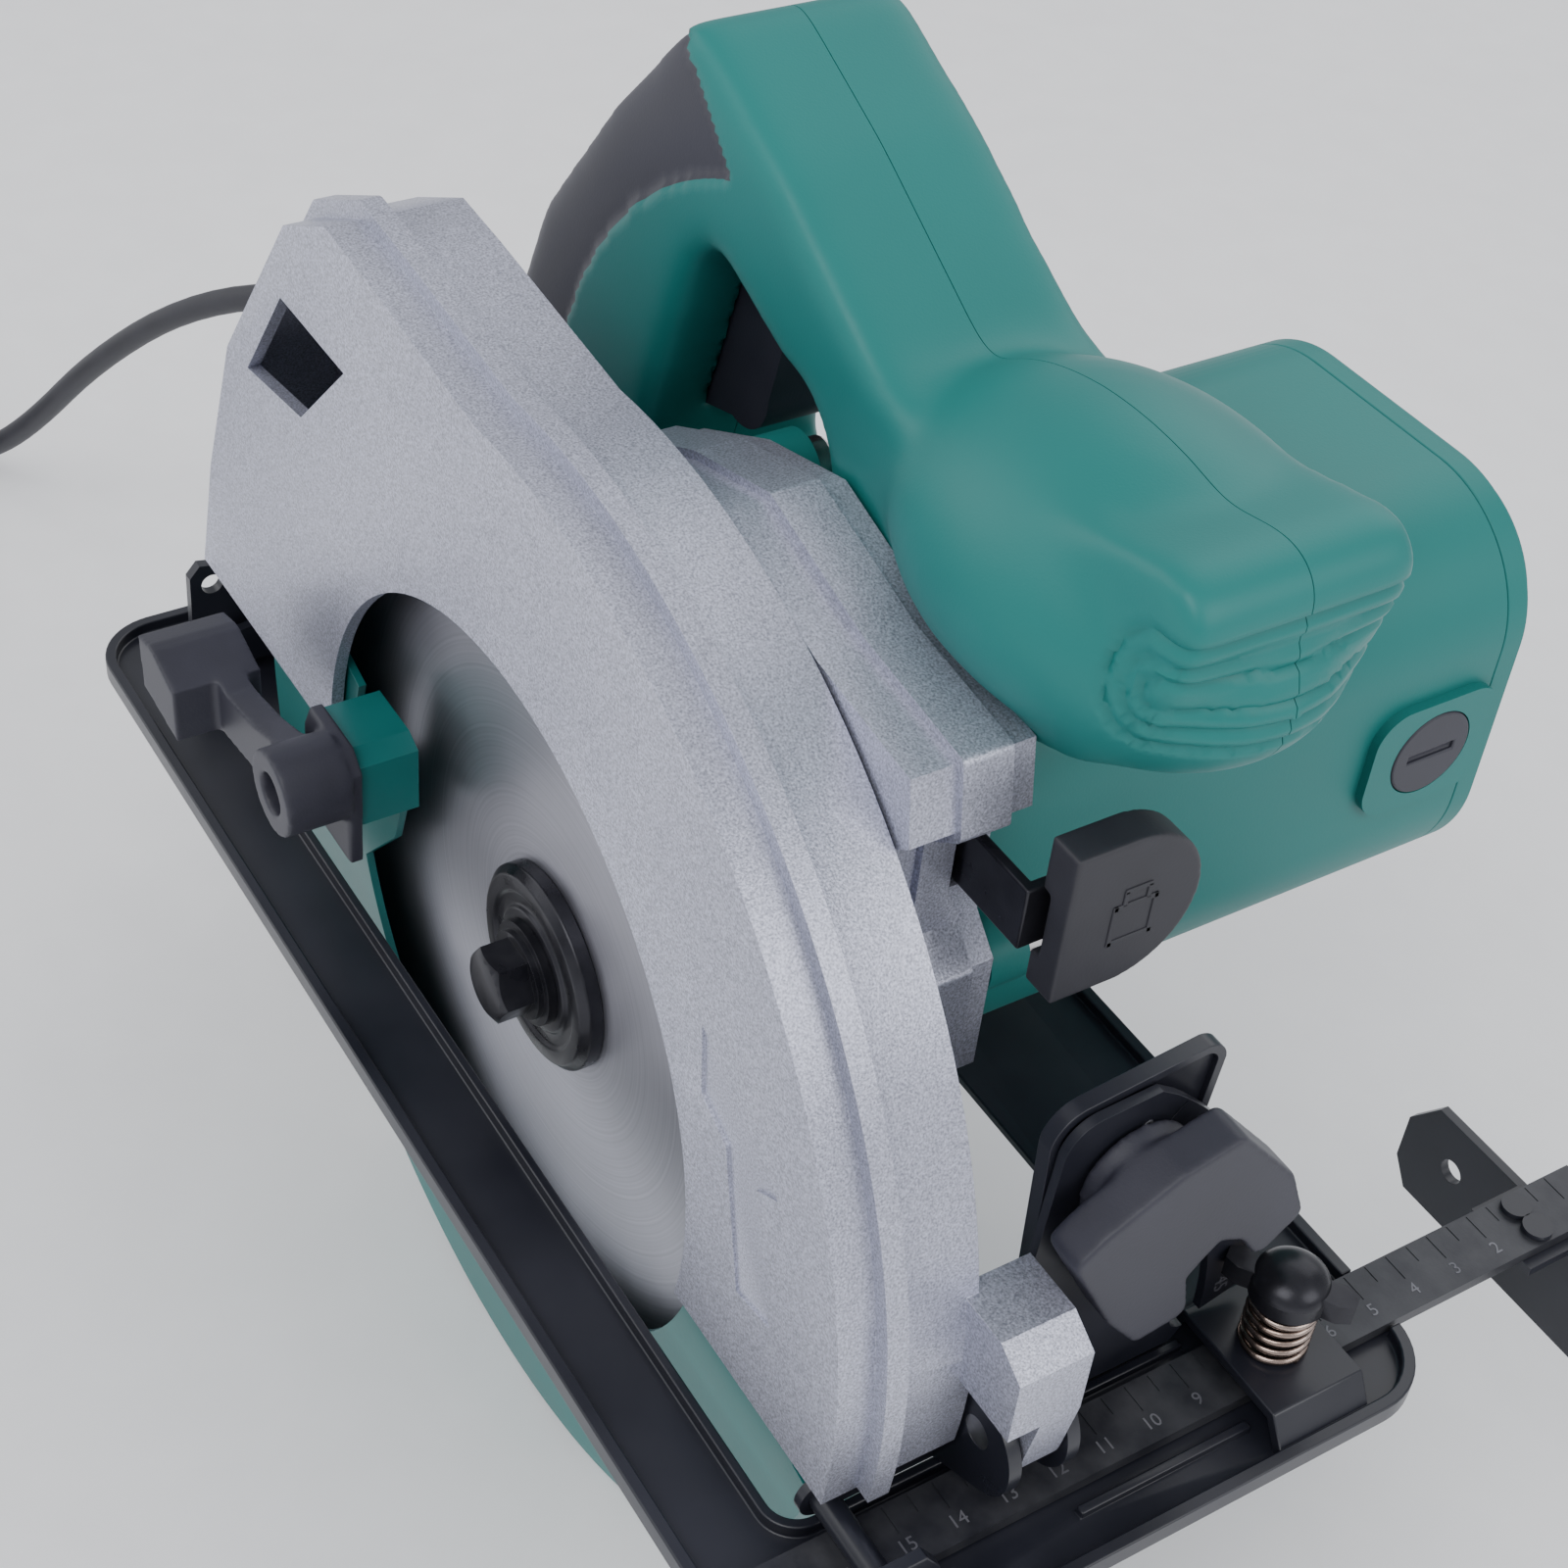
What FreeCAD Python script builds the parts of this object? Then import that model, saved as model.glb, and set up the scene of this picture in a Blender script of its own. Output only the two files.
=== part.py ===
import FreeCAD, Part
import math
import os

# Hand-held circular saw.  Design axes: X forward along the cut, Y to the motor side, Z up.
# The arbor axis is at x = 0, the blade's middle plane at y = blade_plane and the sole's
# running face at z = 0.  Every helper below takes y measured from the blade's middle plane.

doc = FreeCAD.newDocument("circular_saw")
sheet = doc.addObject("Spreadsheet::Sheet", "Sizes")

SIZES = {
    "blade_plane": 23.5,
    # blade and arbor
    "arbor_height": 31.0, "blade_radius": 105.0, "blade_thick": 1.8,
    "flange_radius": 20.0, "arbor_radius": 7.5,
    # upper guard
    "guard_radius": 114.0, "guard_face": -12.2, "guard_back": 13.4, "guard_wall": 2.6,
    "guard_opening": 70.0, "guard_floor": 17.5, "guard_lip": 3.2,
    # lower guard
    "lower_radius": 108.5, "lower_face": -9.0, "lower_back": 8.0, "lower_wall": 1.6,
    # motor
    "motor_x": 15.0, "motor_rise": 41.948, "motor_radius": 43.5,
    "motor_wall": 3.2, "gear_module": 1.65, "gear_teeth": 32, "pinion_teeth": 22,
    # handle
    "handle_mid": 58.0, "handle_half": 21.0,
    # sole
    "sole_rear": -160.0, "sole_front": 137.0, "sole_right": -32.5, "sole_left": 104.5,
    "sole_thick": 2.0, "sole_rim": 4.5, "sole_corner": 14.0,
    # bevel bracket, bevel axis and depth pivot
    "post_x": 103.0, "pivot_x": 117.0, "pivot_z": 24.0, "tilt_y": -8.0, "tilt_z": 10.0,
    "stud_y": 43.0, "stud_z": 64.0, "depth_reach": 190.0, "depth_rest": 173.0,
    # rip fence
    "bar_rear": 111.5, "bar_width": 12.0, "bar_thick": 2.5, "bar_right": -45.0, "bar_left": 158.0,
    "fence_face": 150.0, "screw_x": 118.5, "screw_y": 78.0,
    # cord
    "cord_radius": 3.1,
}
for row, (alias, value) in enumerate(SIZES.items(), start=1):
    sheet.set(f"A{row}", alias)
    sheet.set(f"B{row}", str(value))
    sheet.setAlias(f"B{row}", alias)
doc.recompute()

NODES = {}
count = {"n": 0}


def size(alias):
    """A sheet value as a number, for outlines."""
    return float(sheet.get(alias))


def bind(obj, prop, value):
    """Bind a property to sheet names written as {name}, or set a plain number."""
    text = str(value)
    if "{" in text:
        obj.setExpression(prop, text.replace("{", "Sizes.").replace("}", ""))
    else:
        obj.setExpression(prop, text)


def fresh(kind, label):
    count["n"] += 1
    obj = doc.addObject(kind, f"f{count['n']}_{label}")
    obj.Label = label + f"_{count['n']}"
    return obj


def place(obj, at, turn=None):
    """Put an object; y counts from the blade plane, and turn is (axis, degrees)."""
    if turn:
        rotation = FreeCAD.Rotation(FreeCAD.Vector(*turn[0]), turn[1])
        obj.Placement = FreeCAD.Placement(FreeCAD.Vector(), rotation)
    bind(obj, "Placement.Base.x", at[0])
    bind(obj, "Placement.Base.y", f"{{blade_plane}} + ({at[1]})")
    bind(obj, "Placement.Base.z", at[2])
    return obj


def box(at, dims, label="box"):
    obj = fresh("Part::Box", label)
    for prop, value in zip(("Length", "Width", "Height"), dims):
        bind(obj, prop, value)
    return place(obj, at)


ALONG = {"x": ((0, 1, 0), 90), "y": ((1, 0, 0), -90), "z": None}


def rod(at, radius, length, axis="y", label="rod"):
    """A cylinder from its start point along +axis."""
    obj = fresh("Part::Cylinder", label)
    bind(obj, "Radius", radius)
    bind(obj, "Height", length)
    return place(obj, at, ALONG[axis])


def cone(at, r1, r2, length, axis="y", label="cone"):
    obj = fresh("Part::Cone", label)
    bind(obj, "Radius1", r1)
    bind(obj, "Radius2", r2)
    bind(obj, "Height", length)
    return place(obj, at, ALONG[axis])


def ball(at, radii, label="ball"):
    """An ellipsoid with radii along X, Y, Z."""
    obj = fresh("Part::Ellipsoid", label)
    obj.Radius1, obj.Radius2, obj.Radius3 = radii[2], radii[0], radii[1]
    obj.Angle1 = -90
    return place(obj, at)


def ring(at, outer, inner, length, axis="y", label="ring"):
    shift = {"x": (-1, 0, 0), "y": (0, -1, 0), "z": (0, 0, -1)}[axis]
    start = [f"({a}) + ({s})" for a, s in zip(at, shift)]
    return cut(rod(at, outer, length, axis), rod(start, inner, f"({length}) + 2", axis), label=label)


def fuse(*shapes, label="fuse"):
    shapes = list(shapes)
    if len(shapes) == 1:
        return shapes[0]
    obj = fresh("Part::MultiFuse", label)
    obj.Shapes = shapes
    return obj


def cut(base, *tools, label="cut"):
    obj = fresh("Part::Cut", label)
    obj.Base = base
    obj.Tool = fuse(*tools) if len(tools) > 1 else tools[0]
    return obj


def common(a, b, label="common"):
    obj = fresh("Part::Common", label)
    obj.Base, obj.Tool = a, b
    return obj


def together(*shapes, label="set"):
    obj = fresh("Part::Compound", label)
    obj.Links = list(shapes)
    return obj


def polar(radius, degrees, centre=(0.0, 0.0)):
    a = math.radians(degrees)
    return (centre[0] + radius * math.cos(a), centre[1] + radius * math.sin(a))


def arc(radius, start, end, centre=(0.0, 0.0)):
    """Three points of an arc for an outline."""
    return ("arc", polar(radius, (start + end) / 2, centre), polar(radius, end, centre))


def outline(points, plane, label="outline"):
    """A closed sketch.  points holds (u, v) corners and ("arc", through, end) arcs."""
    sketch = fresh("Sketcher::SketchObject", label)
    v3 = FreeCAD.Vector
    here = points[0]
    for item in list(points[1:]) + [points[0]]:
        if item[0] == "arc":
            sketch.addGeometry(Part.Arc(v3(*here, 0), v3(*item[1], 0), v3(*item[2], 0)), False)
            here = item[2]
        elif math.dist(here, item) > 1e-6:
            sketch.addGeometry(Part.LineSegment(v3(*here, 0), v3(*item, 0)), False)
            here = item
    turn = {"xz": ((1, 0, 0), 90), "yz": ((1, 1, 1), 120), "xy": None}[plane]
    return sketch, turn


def slab(points, plane, start, thick, label="slab", grow=0.0):
    """An outline pushed along its plane's normal from start (X, Y or Z) by thick."""
    sketch, turn = outline(points, plane, label)
    at = {"xz": (0, start, 0), "yz": (start, 0, 0), "xy": (0, 0, start)}[plane]
    place(sketch, at, turn)
    source = sketch
    if grow:
        source = fresh("Part::Offset2D", label)
        source.Source = sketch
        source.Join = 0
        bind(source, "Value", grow)
    obj = fresh("Part::Extrusion", label)
    obj.Base = source
    obj.DirMode = "Custom"
    obj.Dir = {"xz": (0, 1, 0), "yz": (1, 0, 0), "xy": (0, 0, 1)}[plane]
    bind(obj, "LengthFwd", thick)
    obj.Solid = True
    return obj


def rounded(u0, v0, u1, v1, r):
    """A rectangle with round corners as an outline."""
    return [(u0 + r, v0), (u1 - r, v0), arc(r, -90, 0, (u1 - r, v0 + r)), (u1, v1 - r),
            arc(r, 0, 90, (u1 - r, v1 - r)), (u0 + r, v1), arc(r, 90, 180, (u0 + r, v1 - r)),
            (u0, v0 + r), arc(r, 180, 270, (u0 + r, v0 + r))]


def turned(profile, at, axis="y", label="turned"):
    """A lathe part: profile is (radius, distance along the axis) corners."""
    sketch, _ = outline(profile, "xy", label)
    obj = fresh("Part::Revolution", label)
    obj.Source = sketch
    obj.Axis = (0, 1, 0)
    obj.Angle = 360
    obj.Solid = True
    turn = {"y": ((0, 0, 1), 0), "x": ((0, 0, 1), -90), "z": ((1, 0, 0), 90)}[axis]
    return place(obj, at, turn)


def hex_prism(at, flats, length, axis="y", label="hex"):
    obj = fresh("Part::Prism", label)
    obj.Polygon = 6
    obj.Circumradius = flats / math.sqrt(3)
    bind(obj, "Height", length)
    return place(obj, at, ALONG[axis])


def save(name, obj):
    """Name a finished node; it is written at the end."""
    obj.Label = name
    NODES[name] = obj
    return obj


MX, MZ = "{motor_x}", "{arbor_height} + {motor_rise}"



# ---------------------------------------------------------------- sole and what is fixed to it
def sole():
    """Pressed sheet with a raised rim, blade slot, sight window and the fence bar's bridge."""
    x0, x1, y0, y1 = (size(n) for n in ("sole_rear", "sole_front", "sole_right", "sole_left"))
    corner = size("sole_corner")
    rim_wide = 2.4
    flat = slab(rounded(x0, y0, x1, y1, corner), "xy", 0, "{sole_thick}", "sole_sheet")
    inside = rounded(x0 + rim_wide, y0 + rim_wide, x1 - rim_wide, y1 - rim_wide, corner - rim_wide)
    rim = cut(slab(rounded(x0, y0, x1, y1, corner), "xy", 1, "{sole_rim} - 1", "rim"),
              slab(inside, "xy", 0.5, 6, "rim_inside"))
    slot_rim = slab(rounded(-110, -16.1, 109.3, 28.8, 7), "xy", 1, "{sole_rim} - 1", "slot_rim")
    ribs = [box((x, 31, 1.5), (1.8, 36, 2.0)) for x in (107.2, 126.4)]
    bridge = slab([(101, 1.5), (106, 9.6), (131, 9.6), (136, 1.5), (133.4, 1.5), (129.8, 7.4),
                   (107.2, 7.4), (103.6, 1.5)], "xz", 68, 20, "bridge")
    body = fuse(flat, rim, slot_rim, *ribs, bridge)
    slot = slab(rounded(-108.2, -14.3, 107.5, 27, 5.5), "xy", -1, 8, "blade_slot")
    window = slab(rounded(-118, 33, 87, 68.8, 9), "xy", -1, 8, "window")
    bar_gap = box(("{bar_rear} - 0.5", "{sole_right} - 1", "{sole_thick}"), ("{bar_width} + 1", 140, 3.2))
    screw_hole = rod(("{screw_x}", "{screw_y}", 6), 2.55, 6, "z")
    save("sole_plate", cut(body, slot, window, bar_gap, screw_hole))


def bevel_post():
    """Upright plate with a turned-over edge; the clamp stud stands in it."""
    shape = [(29.4, 2.1), (29.4, 30), (27.4, 73), arc(7, 180, 95, (34.4, 73)), (56.5, 82.4),
             arc(4.5, 85, 5, (56.2, 77.9)), (57, 40), (65, 16), (66, 2.1)]
    plate = slab(shape, "yz", "{post_x}", 2, "post_plate")
    lip = cut(slab(shape, "yz", "{post_x} + 1.5", 1.5, "post_lip"),
              slab(shape, "yz", "{post_x} + 1", 3, "post_field", grow=-1.8))
    foot = box(("{post_x} - 11", 33.5, 2.1), (11.5, 32, 1.9))
    stud_hole = rod(("{post_x} - 1", "{stud_y}", "{stud_z}"), 3.0, 5, "x")
    rivets = [("{post_x} - 6", y, 1.0) for y in (38, 49.5, 61)]
    save("bevel_post", cut(fuse(plate, lip, foot), stud_hole, *[rod(at, 2.0, 4, "z") for at in rivets]))
    save("bevel_stud", fuse(rod(("{post_x} - 3", "{stud_y}", "{stud_z}"), 6.5, 3, "x"),
                            rod(("{post_x} - 0.5", "{stud_y}", "{stud_z}"), 3.0, 13.5, "x")))
    save("post_rivets", together(*[fuse(rod((x, y, 2.1), 2.0, 2.4, "z"), rod((x, y, 4.0), 3.2, 1.1, "z"))
                                   for x, y, _ in rivets]))


def tilt_supports():
    """Front and rear tabs of the sole that carry the bevel hinge, and its two pins."""
    front = slab([(-17, 2.1), (-17, 12), (-14, 16.5), (-2, 16.5), (1, 12), (1, 2.1)], "yz", 126.4, 2.4, "tab")
    front = fuse(front, box((126.4, -17, 2.1), (7.6, 18, 1.6)))
    save("front_tab", cut(front, rod((125, "{tilt_y}", "{tilt_z}"), 2.5, 6, "x")))
    rear = slab([(-15.6, 2.1), (-15.2, 28), (-12.8, 30.8), (-8.5, 30), (-4, 22), (10, 19), (20, 10),
                 (22, 2.1)], "yz", -141.2, 2.4, "rear_plate")
    rear = fuse(rear, box((-151, -15.6, 2.1), (11, 37.6, 1.8)))
    save("rear_tab", cut(rear, rod((-143, -10.3, 25.4), 2.4, 6, "x"),
                         rod((-143, "{tilt_y}", "{tilt_z}"), 2.5, 6, "x")))
    pins = []
    for start, length, head_at in ((106.9, 22.5, 128.9), (-141.9, 8.0, -142.9)):
        pins.append(fuse(rod((start, "{tilt_y}", "{tilt_z}"), 2.5, length, "x"),
                         rod((head_at, "{tilt_y}", "{tilt_z}"), 4.2, 1.6, "x")))
    save("bevel_pins", together(*pins))


def fence_clamp():
    """Compression spring and wing screw over the bridge."""
    wire, coil_radius, pitch, bottom = 0.8, 5.6, 2.9, 10.6
    coils = []
    for turn in range(4):
        coil = fresh("Part::Torus", "coil")
        coil.Radius1, coil.Radius2 = coil_radius, wire
        coils.append(place(coil, ("{screw_x}", "{screw_y}", bottom + pitch * turn)))
    save("fence_spring", together(*coils))
    centre = ("{screw_x}", "{screw_y}")
    shank = rod((*centre, 5.4), 2.5, 20, "z")
    dome = common(ball((*centre, 25.6), (6.9, 6.9, 4.4)), rod((*centre, 25), 8, 6, "z"))
    half, tip = 11.5, 2.6
    wing = slab([(-half, -1.4), (-half, 1.4), (-9, tip), (0, 2.2), (9, tip), (half, 1.4), (half, -1.4),
                 (9, -tip), (0, -2.2), (-9, -tip)], "xy", 22.6, 4.4, "wing")
    wing.Base.Placement = FreeCAD.Placement(FreeCAD.Vector(), FreeCAD.Rotation(34, 0, 0))
    place(wing.Base, ("{screw_x}", "{screw_y}", 22.6))
    save("wing_screw", fuse(shank, rod((*centre, 22.6), 6.9, 3.2, "z"), dome, wing))


def fence():
    """The graduated bar and the guide plate riveted under it."""
    bar = box(("{bar_rear}", "{bar_right}", 2.5), ("{bar_width}", "{bar_left} - {bar_right}", "{bar_thick}"))
    ticks = []
    for millimetre in range(0, 161, 5):
        long = 5.5 if millimetre % 10 == 0 else 3.6
        ticks.append(box(("{bar_rear} + 0.4", f"{{fence_face}} + 1.35 - {millimetre}", 4.85), (long, 0.3, 0.3)))
    rivet_at = [("{bar_rear} + 3.2", 141.5), ("{bar_rear} + 8.8", 141.5)]
    holes = [rod((x, y, 1), 1.8, 6, "z") for x, y in rivet_at]
    save("fence_bar", cut(bar, *ticks, *holes))
    face = [(86, -23), (160, -23), arc(5, -90, 0, (160, -18)), (165, 2.2), (88, 2.2), (82, -6), (82, -17)]
    plate = slab(face, "xz", "{fence_face} - 2", 2, "guide_face")
    tab = box(("{bar_rear} - 2", "{fence_face} - 14", 0.3), ("{bar_width} + 4", 13, 2))
    hole = rod((95, "{fence_face} - 4", -9), 2.6, 6)
    save("fence_guide", cut(fuse(plate, tab), hole, *[rod((x, y, -1), 1.8, 5, "z") for x, y in rivet_at]))
    save("fence_rivets", together(*[fuse(rod((x, y, 0.3), 1.8, 5, "z"), rod((x, y, 5.05), 2.9, 1.1, "z"))
                                    for x, y in rivet_at]))


# ---------------------------------------------------------------- what tilts: front hinge and depth guide
def front_hinge():
    """Scale quadrant with its arc slot, and two ears round the guard's lug."""
    tilt = (size("tilt_y"), size("tilt_z"))
    reach = math.dist(tilt, (size("stud_y"), size("stud_z")))
    rest = math.degrees(math.atan2(size("stud_z") - tilt[1], size("stud_y") - tilt[0]))
    outer = 88.5
    shape = [polar(4.3, 270, tilt), arc(4.3, 270, 90, tilt), (13.9, 14.8), (13.9, 32.5), (26.5, 40),
             (28.6, 72), arc(7, 172, 96, (35.6, 72)), (46.2, 79.6), polar(outer, 49, tilt),
             arc(outer, 49, 3, tilt), (68, 10.9), (64, 5.8)]
    plate = slab(shape, "yz", "{post_x} + 3.4", 1.8, "quadrant")
    half = 3.3
    slot = slab([polar(reach + half, rest, tilt), arc(half, rest, rest + 180, polar(reach, rest, tilt)),
                 arc(reach - half, rest, rest - 45, tilt),
                 arc(half, rest + 135, rest + 315, polar(reach, rest - 45, tilt)),
                 arc(reach + half, rest - 45, rest, tilt)], "yz", "{post_x} + 2", 5, "arc_slot")
    ears = []
    ear = [(108, 5.8), (120, 12), arc(8.5, -50, 90, (117, 24)), (108, 32.5)]
    for y in (14.1, 25.6):
        ears.append(slab(ear, "xz", y, 2.5, "ear"))
    pin_hole = rod(("{pivot_x}", 13, "{pivot_z}"), 3.0, 17)
    marks = [slab([polar(outer - 4.6, a - 0.12, tilt), polar(outer - 0.4, a - 0.12, tilt),
                   polar(outer - 0.4, a + 0.12, tilt), polar(outer - 4.6, a + 0.12, tilt)],
                  "yz", "{post_x} + 4.95", 1, "mark") for a in range(2, 48, 5)]
    tilt_hole = rod(("{post_x}", "{tilt_y}", "{tilt_z}"), 2.55, 8, "x")
    save("front_hinge", cut(fuse(plate, *ears), slot, pin_hole, tilt_hole, *marks))
    save("depth_pivot_pin", fuse(rod(("{pivot_x}", 14.2, "{pivot_z}"), 3.0, 15), cone(
        ("{pivot_x}", 28.15, "{pivot_z}"), 5.2, 4.2, 2.2)))


def depth_guide():
    """Slotted arc about the front pivot, standing on a foot hinged at the rear."""
    pivot = (size("pivot_x"), size("pivot_z"))
    reach, rest = size("depth_reach"), size("depth_rest")
    top, low, half = rest - 27.5, rest + 3.5, 3.3
    band = slab([polar(reach + 8, low + 1, pivot), arc(reach + 8, low + 1, top - 2.6, pivot),
                 polar(reach - 8, top - 2.6, pivot), arc(reach - 8, top - 2.6, low + 1, pivot)],
                "xz", 14.4, 2.2, "arc_band")
    leg = slab([(-136.5, 5.8), (-136.5, 22), (-84, 49), (-68, 36), (-100, 5.8)], "xz", 14.4, 2.2, "leg")
    foot = slab([polar(4.3, 270, (-8, 10)), arc(4.3, 270, 90, (-8, 10)), (16.6, 18), (16.6, 5.8)],
                "yz", -136.5, 2.2, "foot")
    slot = slab([polar(reach + half, low - 2, pivot), arc(reach + half, low - 2, top, pivot),
                 arc(half, top, top - 180, polar(reach, top, pivot)),
                 arc(reach - half, top, low - 2, pivot),
                 arc(half, low + 178, low - 2, polar(reach, low - 2, pivot))], "xz", 13, 6, "depth_slot")
    save("depth_guide", cut(fuse(band, leg, foot), slot, rod((-138, "{tilt_y}", "{tilt_z}"), 2.55, 6, "x")))


# ---------------------------------------------------------------- upper guard
def guard_outline(rear_low=34.0):
    """Side outline of the upper guard, about the arbor."""
    centre = (0.0, size("arbor_height"))
    radius = size("guard_radius")
    floor = size("guard_floor")
    start = math.degrees(math.asin((floor - centre[1]) / radius))
    return [polar(radius, start, centre), arc(radius, start, 95, centre), (-52, 149), (-66, 150), (-84, 141),
            (-115, 99), (-129, 63), (-137, rear_low), (-79, rear_low), (65, floor)]


def upper_guard():
    face, back, wall = size("guard_face"), size("guard_back"), size("guard_wall")
    outer = slab(guard_outline(), "xz", "{guard_face}", "{guard_back} - {guard_face}", "guard_block")
    hollow = slab(guard_outline(), "xz", "{guard_face} + {guard_wall}",
                  "{guard_back} - {guard_face} - 2 * {guard_wall}", "guard_hollow", grow=-wall)
    open_front = box((-20, face + wall, 10), (131, back - face - 2 * wall, 14))
    open_rear = box((-134.4, face + wall, 20), (120, back - face - 2 * wall, 20))
    opening = rod((-2, face - 1, 33), "{guard_opening}", back - wall - face + 1)
    retainer_gap = rod((0, back - wall - 1, "{arbor_height}"), 31, wall + 2)
    window = slab([(-87, 125), (-60, 125), (-80, 104), (-105, 100)], "xz", face - 1, wall + 2, "window")
    arrow = slab([(67.6, 84), (92, 68.7), (86.3, 65.3), (93.7, 40), (84, 38), (77, 66), (69, 70)],
                 "xz", face - 0.5, 1.1, "arrow")
    bead = cut(slab(guard_outline(), "xz", -5.5, 4, "bead", grow=size("guard_lip")),
               slab(guard_outline(), "xz", -7, 8, "bead_inside"),
               box((-150, -8, 0), (300, 12, size("guard_floor"))),
               box((-150, -8, 0), (150, 12, 34)),
               box((-80, -8, 0), (146, 12, 34)))
    lug = slab([(109, 36), (127, 36), (127, 50), (121, 54), (109, 54)], "xz", 11, 14, "lug")
    knuckle = slab([polar(8, 200, (117, 24)), arc(8, 200, 350, (117, 24)), (127, 36), (127, 40), (109, 40)],
                   "xz", 17.2, 7.8, "knuckle")
    stud_boss = rod((-71.6, 10.8, 47.2), 8, 2.8)
    body = fuse(cut(outer, hollow, open_front, open_rear, opening, retainer_gap, window, arrow),
                bead, lug, knuckle, stud_boss)
    holes = [rod((x, 8, z), 2.55, 8) for x, z in guard_screw_places()]
    holes.append(rod(("{pivot_x}", 16, "{pivot_z}"), 3.05, 12))
    holes.append(rod((-71.6, 8, 47.2), 3.0, 8))
    save("upper_guard", cut(body, *holes))
    bolts = [fuse(rod((x, 8.7, z), 4.4, 2.0), rod((x, 10.6, z), 2.5, 5.4)) for x, z in guard_screw_places()]
    bolts += [fuse(rod((x, 9.2, z), 2.6, 1.75), rod((x, 10.9, z), 1.6, 2.9)) for x, z in retainer_places()]
    save("housing_screws", together(*bolts))


def guard_screw_places():
    centre = (0.0, size("arbor_height"))
    return [polar(44, angle, centre) for angle in (35, 75, 115, 140)]


def depth_clamp():
    """Carriage bolt in the guard's boss and the lever on it."""
    bolt = fuse(rod((-71.6, 8.8, 47.2), 6, 2.0), rod((-71.6, 10.4, 47.2), 3.0, 16.4))
    save("depth_bolt", bolt)
    hub = rod((-71.6, 17.0, 47.2), 8.5, 9)
    arm = slab([(-75, 38.8), (-71, 38.6), (-66, 52), (-70, 55.6), (-100, 66), (-116, 68), (-118, 62),
                (-102, 55)], "xz", 19, 6, "lever_arm")
    save("depth_lever", cut(fuse(hub, arm), rod((-71.6, 16, 47.2), 3.05, 10.6)))


# ---------------------------------------------------------------- gear housing and gears
def housing_outline():
    return [(-20, 125), (0, 135), (22, 141), (50, 133), (76, 130), (78, 118), (70, 112), (70, 90), (76, 84),
            (76, 60), (60, 40), (38, 21), (-22, 21), (-40, 50), (-45, 90), (-30, 115)]


def gear_housing():
    centre = (0.0, size("arbor_height"))
    motor = (size("motor_x"), centre[1] + size("motor_rise"))
    front = housing_outline()
    block = slab(front, "xz", 13.9, 22.1, "housing")
    step = slab(front, "xz", 22, 9, "housing_step", grow=1.6)
    bulge = rod((0, 13.9, "{arbor_height}"), 30.0, 12.5)
    shell = fuse(block, step, bulge)
    gear_room = fuse(rod((0, 16.2, "{arbor_height}"), 28.2, 9.4), rod((MX, 16.2, MZ), 20.6, 9.4))
    arbor_hole = rod((0, 13, "{arbor_height}"), 12, 4)
    rear_seat = rod((0, 25, "{arbor_height}"), 11, 8.5)
    shaft_hole = rod((MX, 25, MZ), 9, 4)
    shaft_seat = rod((MX, 28, MZ), 14, 9)
    relief = [cut(slab(front, "xz", 27, 10, "relief", grow=-3.5),
                  rod((MX, 26, MZ), 46, 12), rod((0, 26, "{arbor_height}"), 16, 12))]
    lock_slot = box((50, 28.2, 99), (40, 4.6, 13.4))
    bores = [rod((x, 24, z), 2.5, 14) for x, z in clamp_places()]
    threads = [rod((x, 13, z), 2.5, 3.3) for x, z in guard_screw_places()]
    save("gear_housing", cut(shell, gear_room, arbor_hole, rear_seat, shaft_hole, shaft_seat,
                             *relief, lock_slot, *bores, *threads))


def clamp_places():
    """Where the motor body is screwed to the gear housing (X, Z)."""
    return [(69, 79), (-2, 126), (-36, 64), (34, 27)]


def tooth_ring(teeth, addendum, dedendum, thinned):
    """Outline points of an involute gear, first tooth on the +X side."""
    module = size("gear_module")
    pitch = module * teeth / 2
    base = pitch * math.cos(math.radians(20))
    root = pitch - dedendum * module
    tip = pitch + addendum * module

    def involute(radius):
        return math.sqrt(max(0.0, (radius / base) ** 2 - 1)) - math.acos(min(1.0, base / radius))

    at_pitch = (math.pi * module / 2 - thinned) / pitch / 2 + involute(pitch)
    points = []
    for tooth in range(teeth):
        middle = 2 * math.pi * tooth / teeth
        flank = [max(root, base)] + [max(root, base) + (tip - max(root, base)) * k / 3 for k in (1, 2, 3)]
        sides = [(r, at_pitch - involute(r)) for r in flank]
        if root < base:
            sides.insert(0, (root, sides[0][1]))
        for radius, half in sides:
            points.append(polar(radius, math.degrees(middle - half)))
        for radius, half in reversed(sides):
            points.append(polar(radius, math.degrees(middle + half)))
    return points


def spun(points, degrees, centre):
    """Outline points turned about the origin, then moved to centre."""
    c, s = math.cos(math.radians(degrees)), math.sin(math.radians(degrees))
    return [(centre[0] + c * x - s * y, centre[1] + s * x + c * y) for x, y in points]


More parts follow.
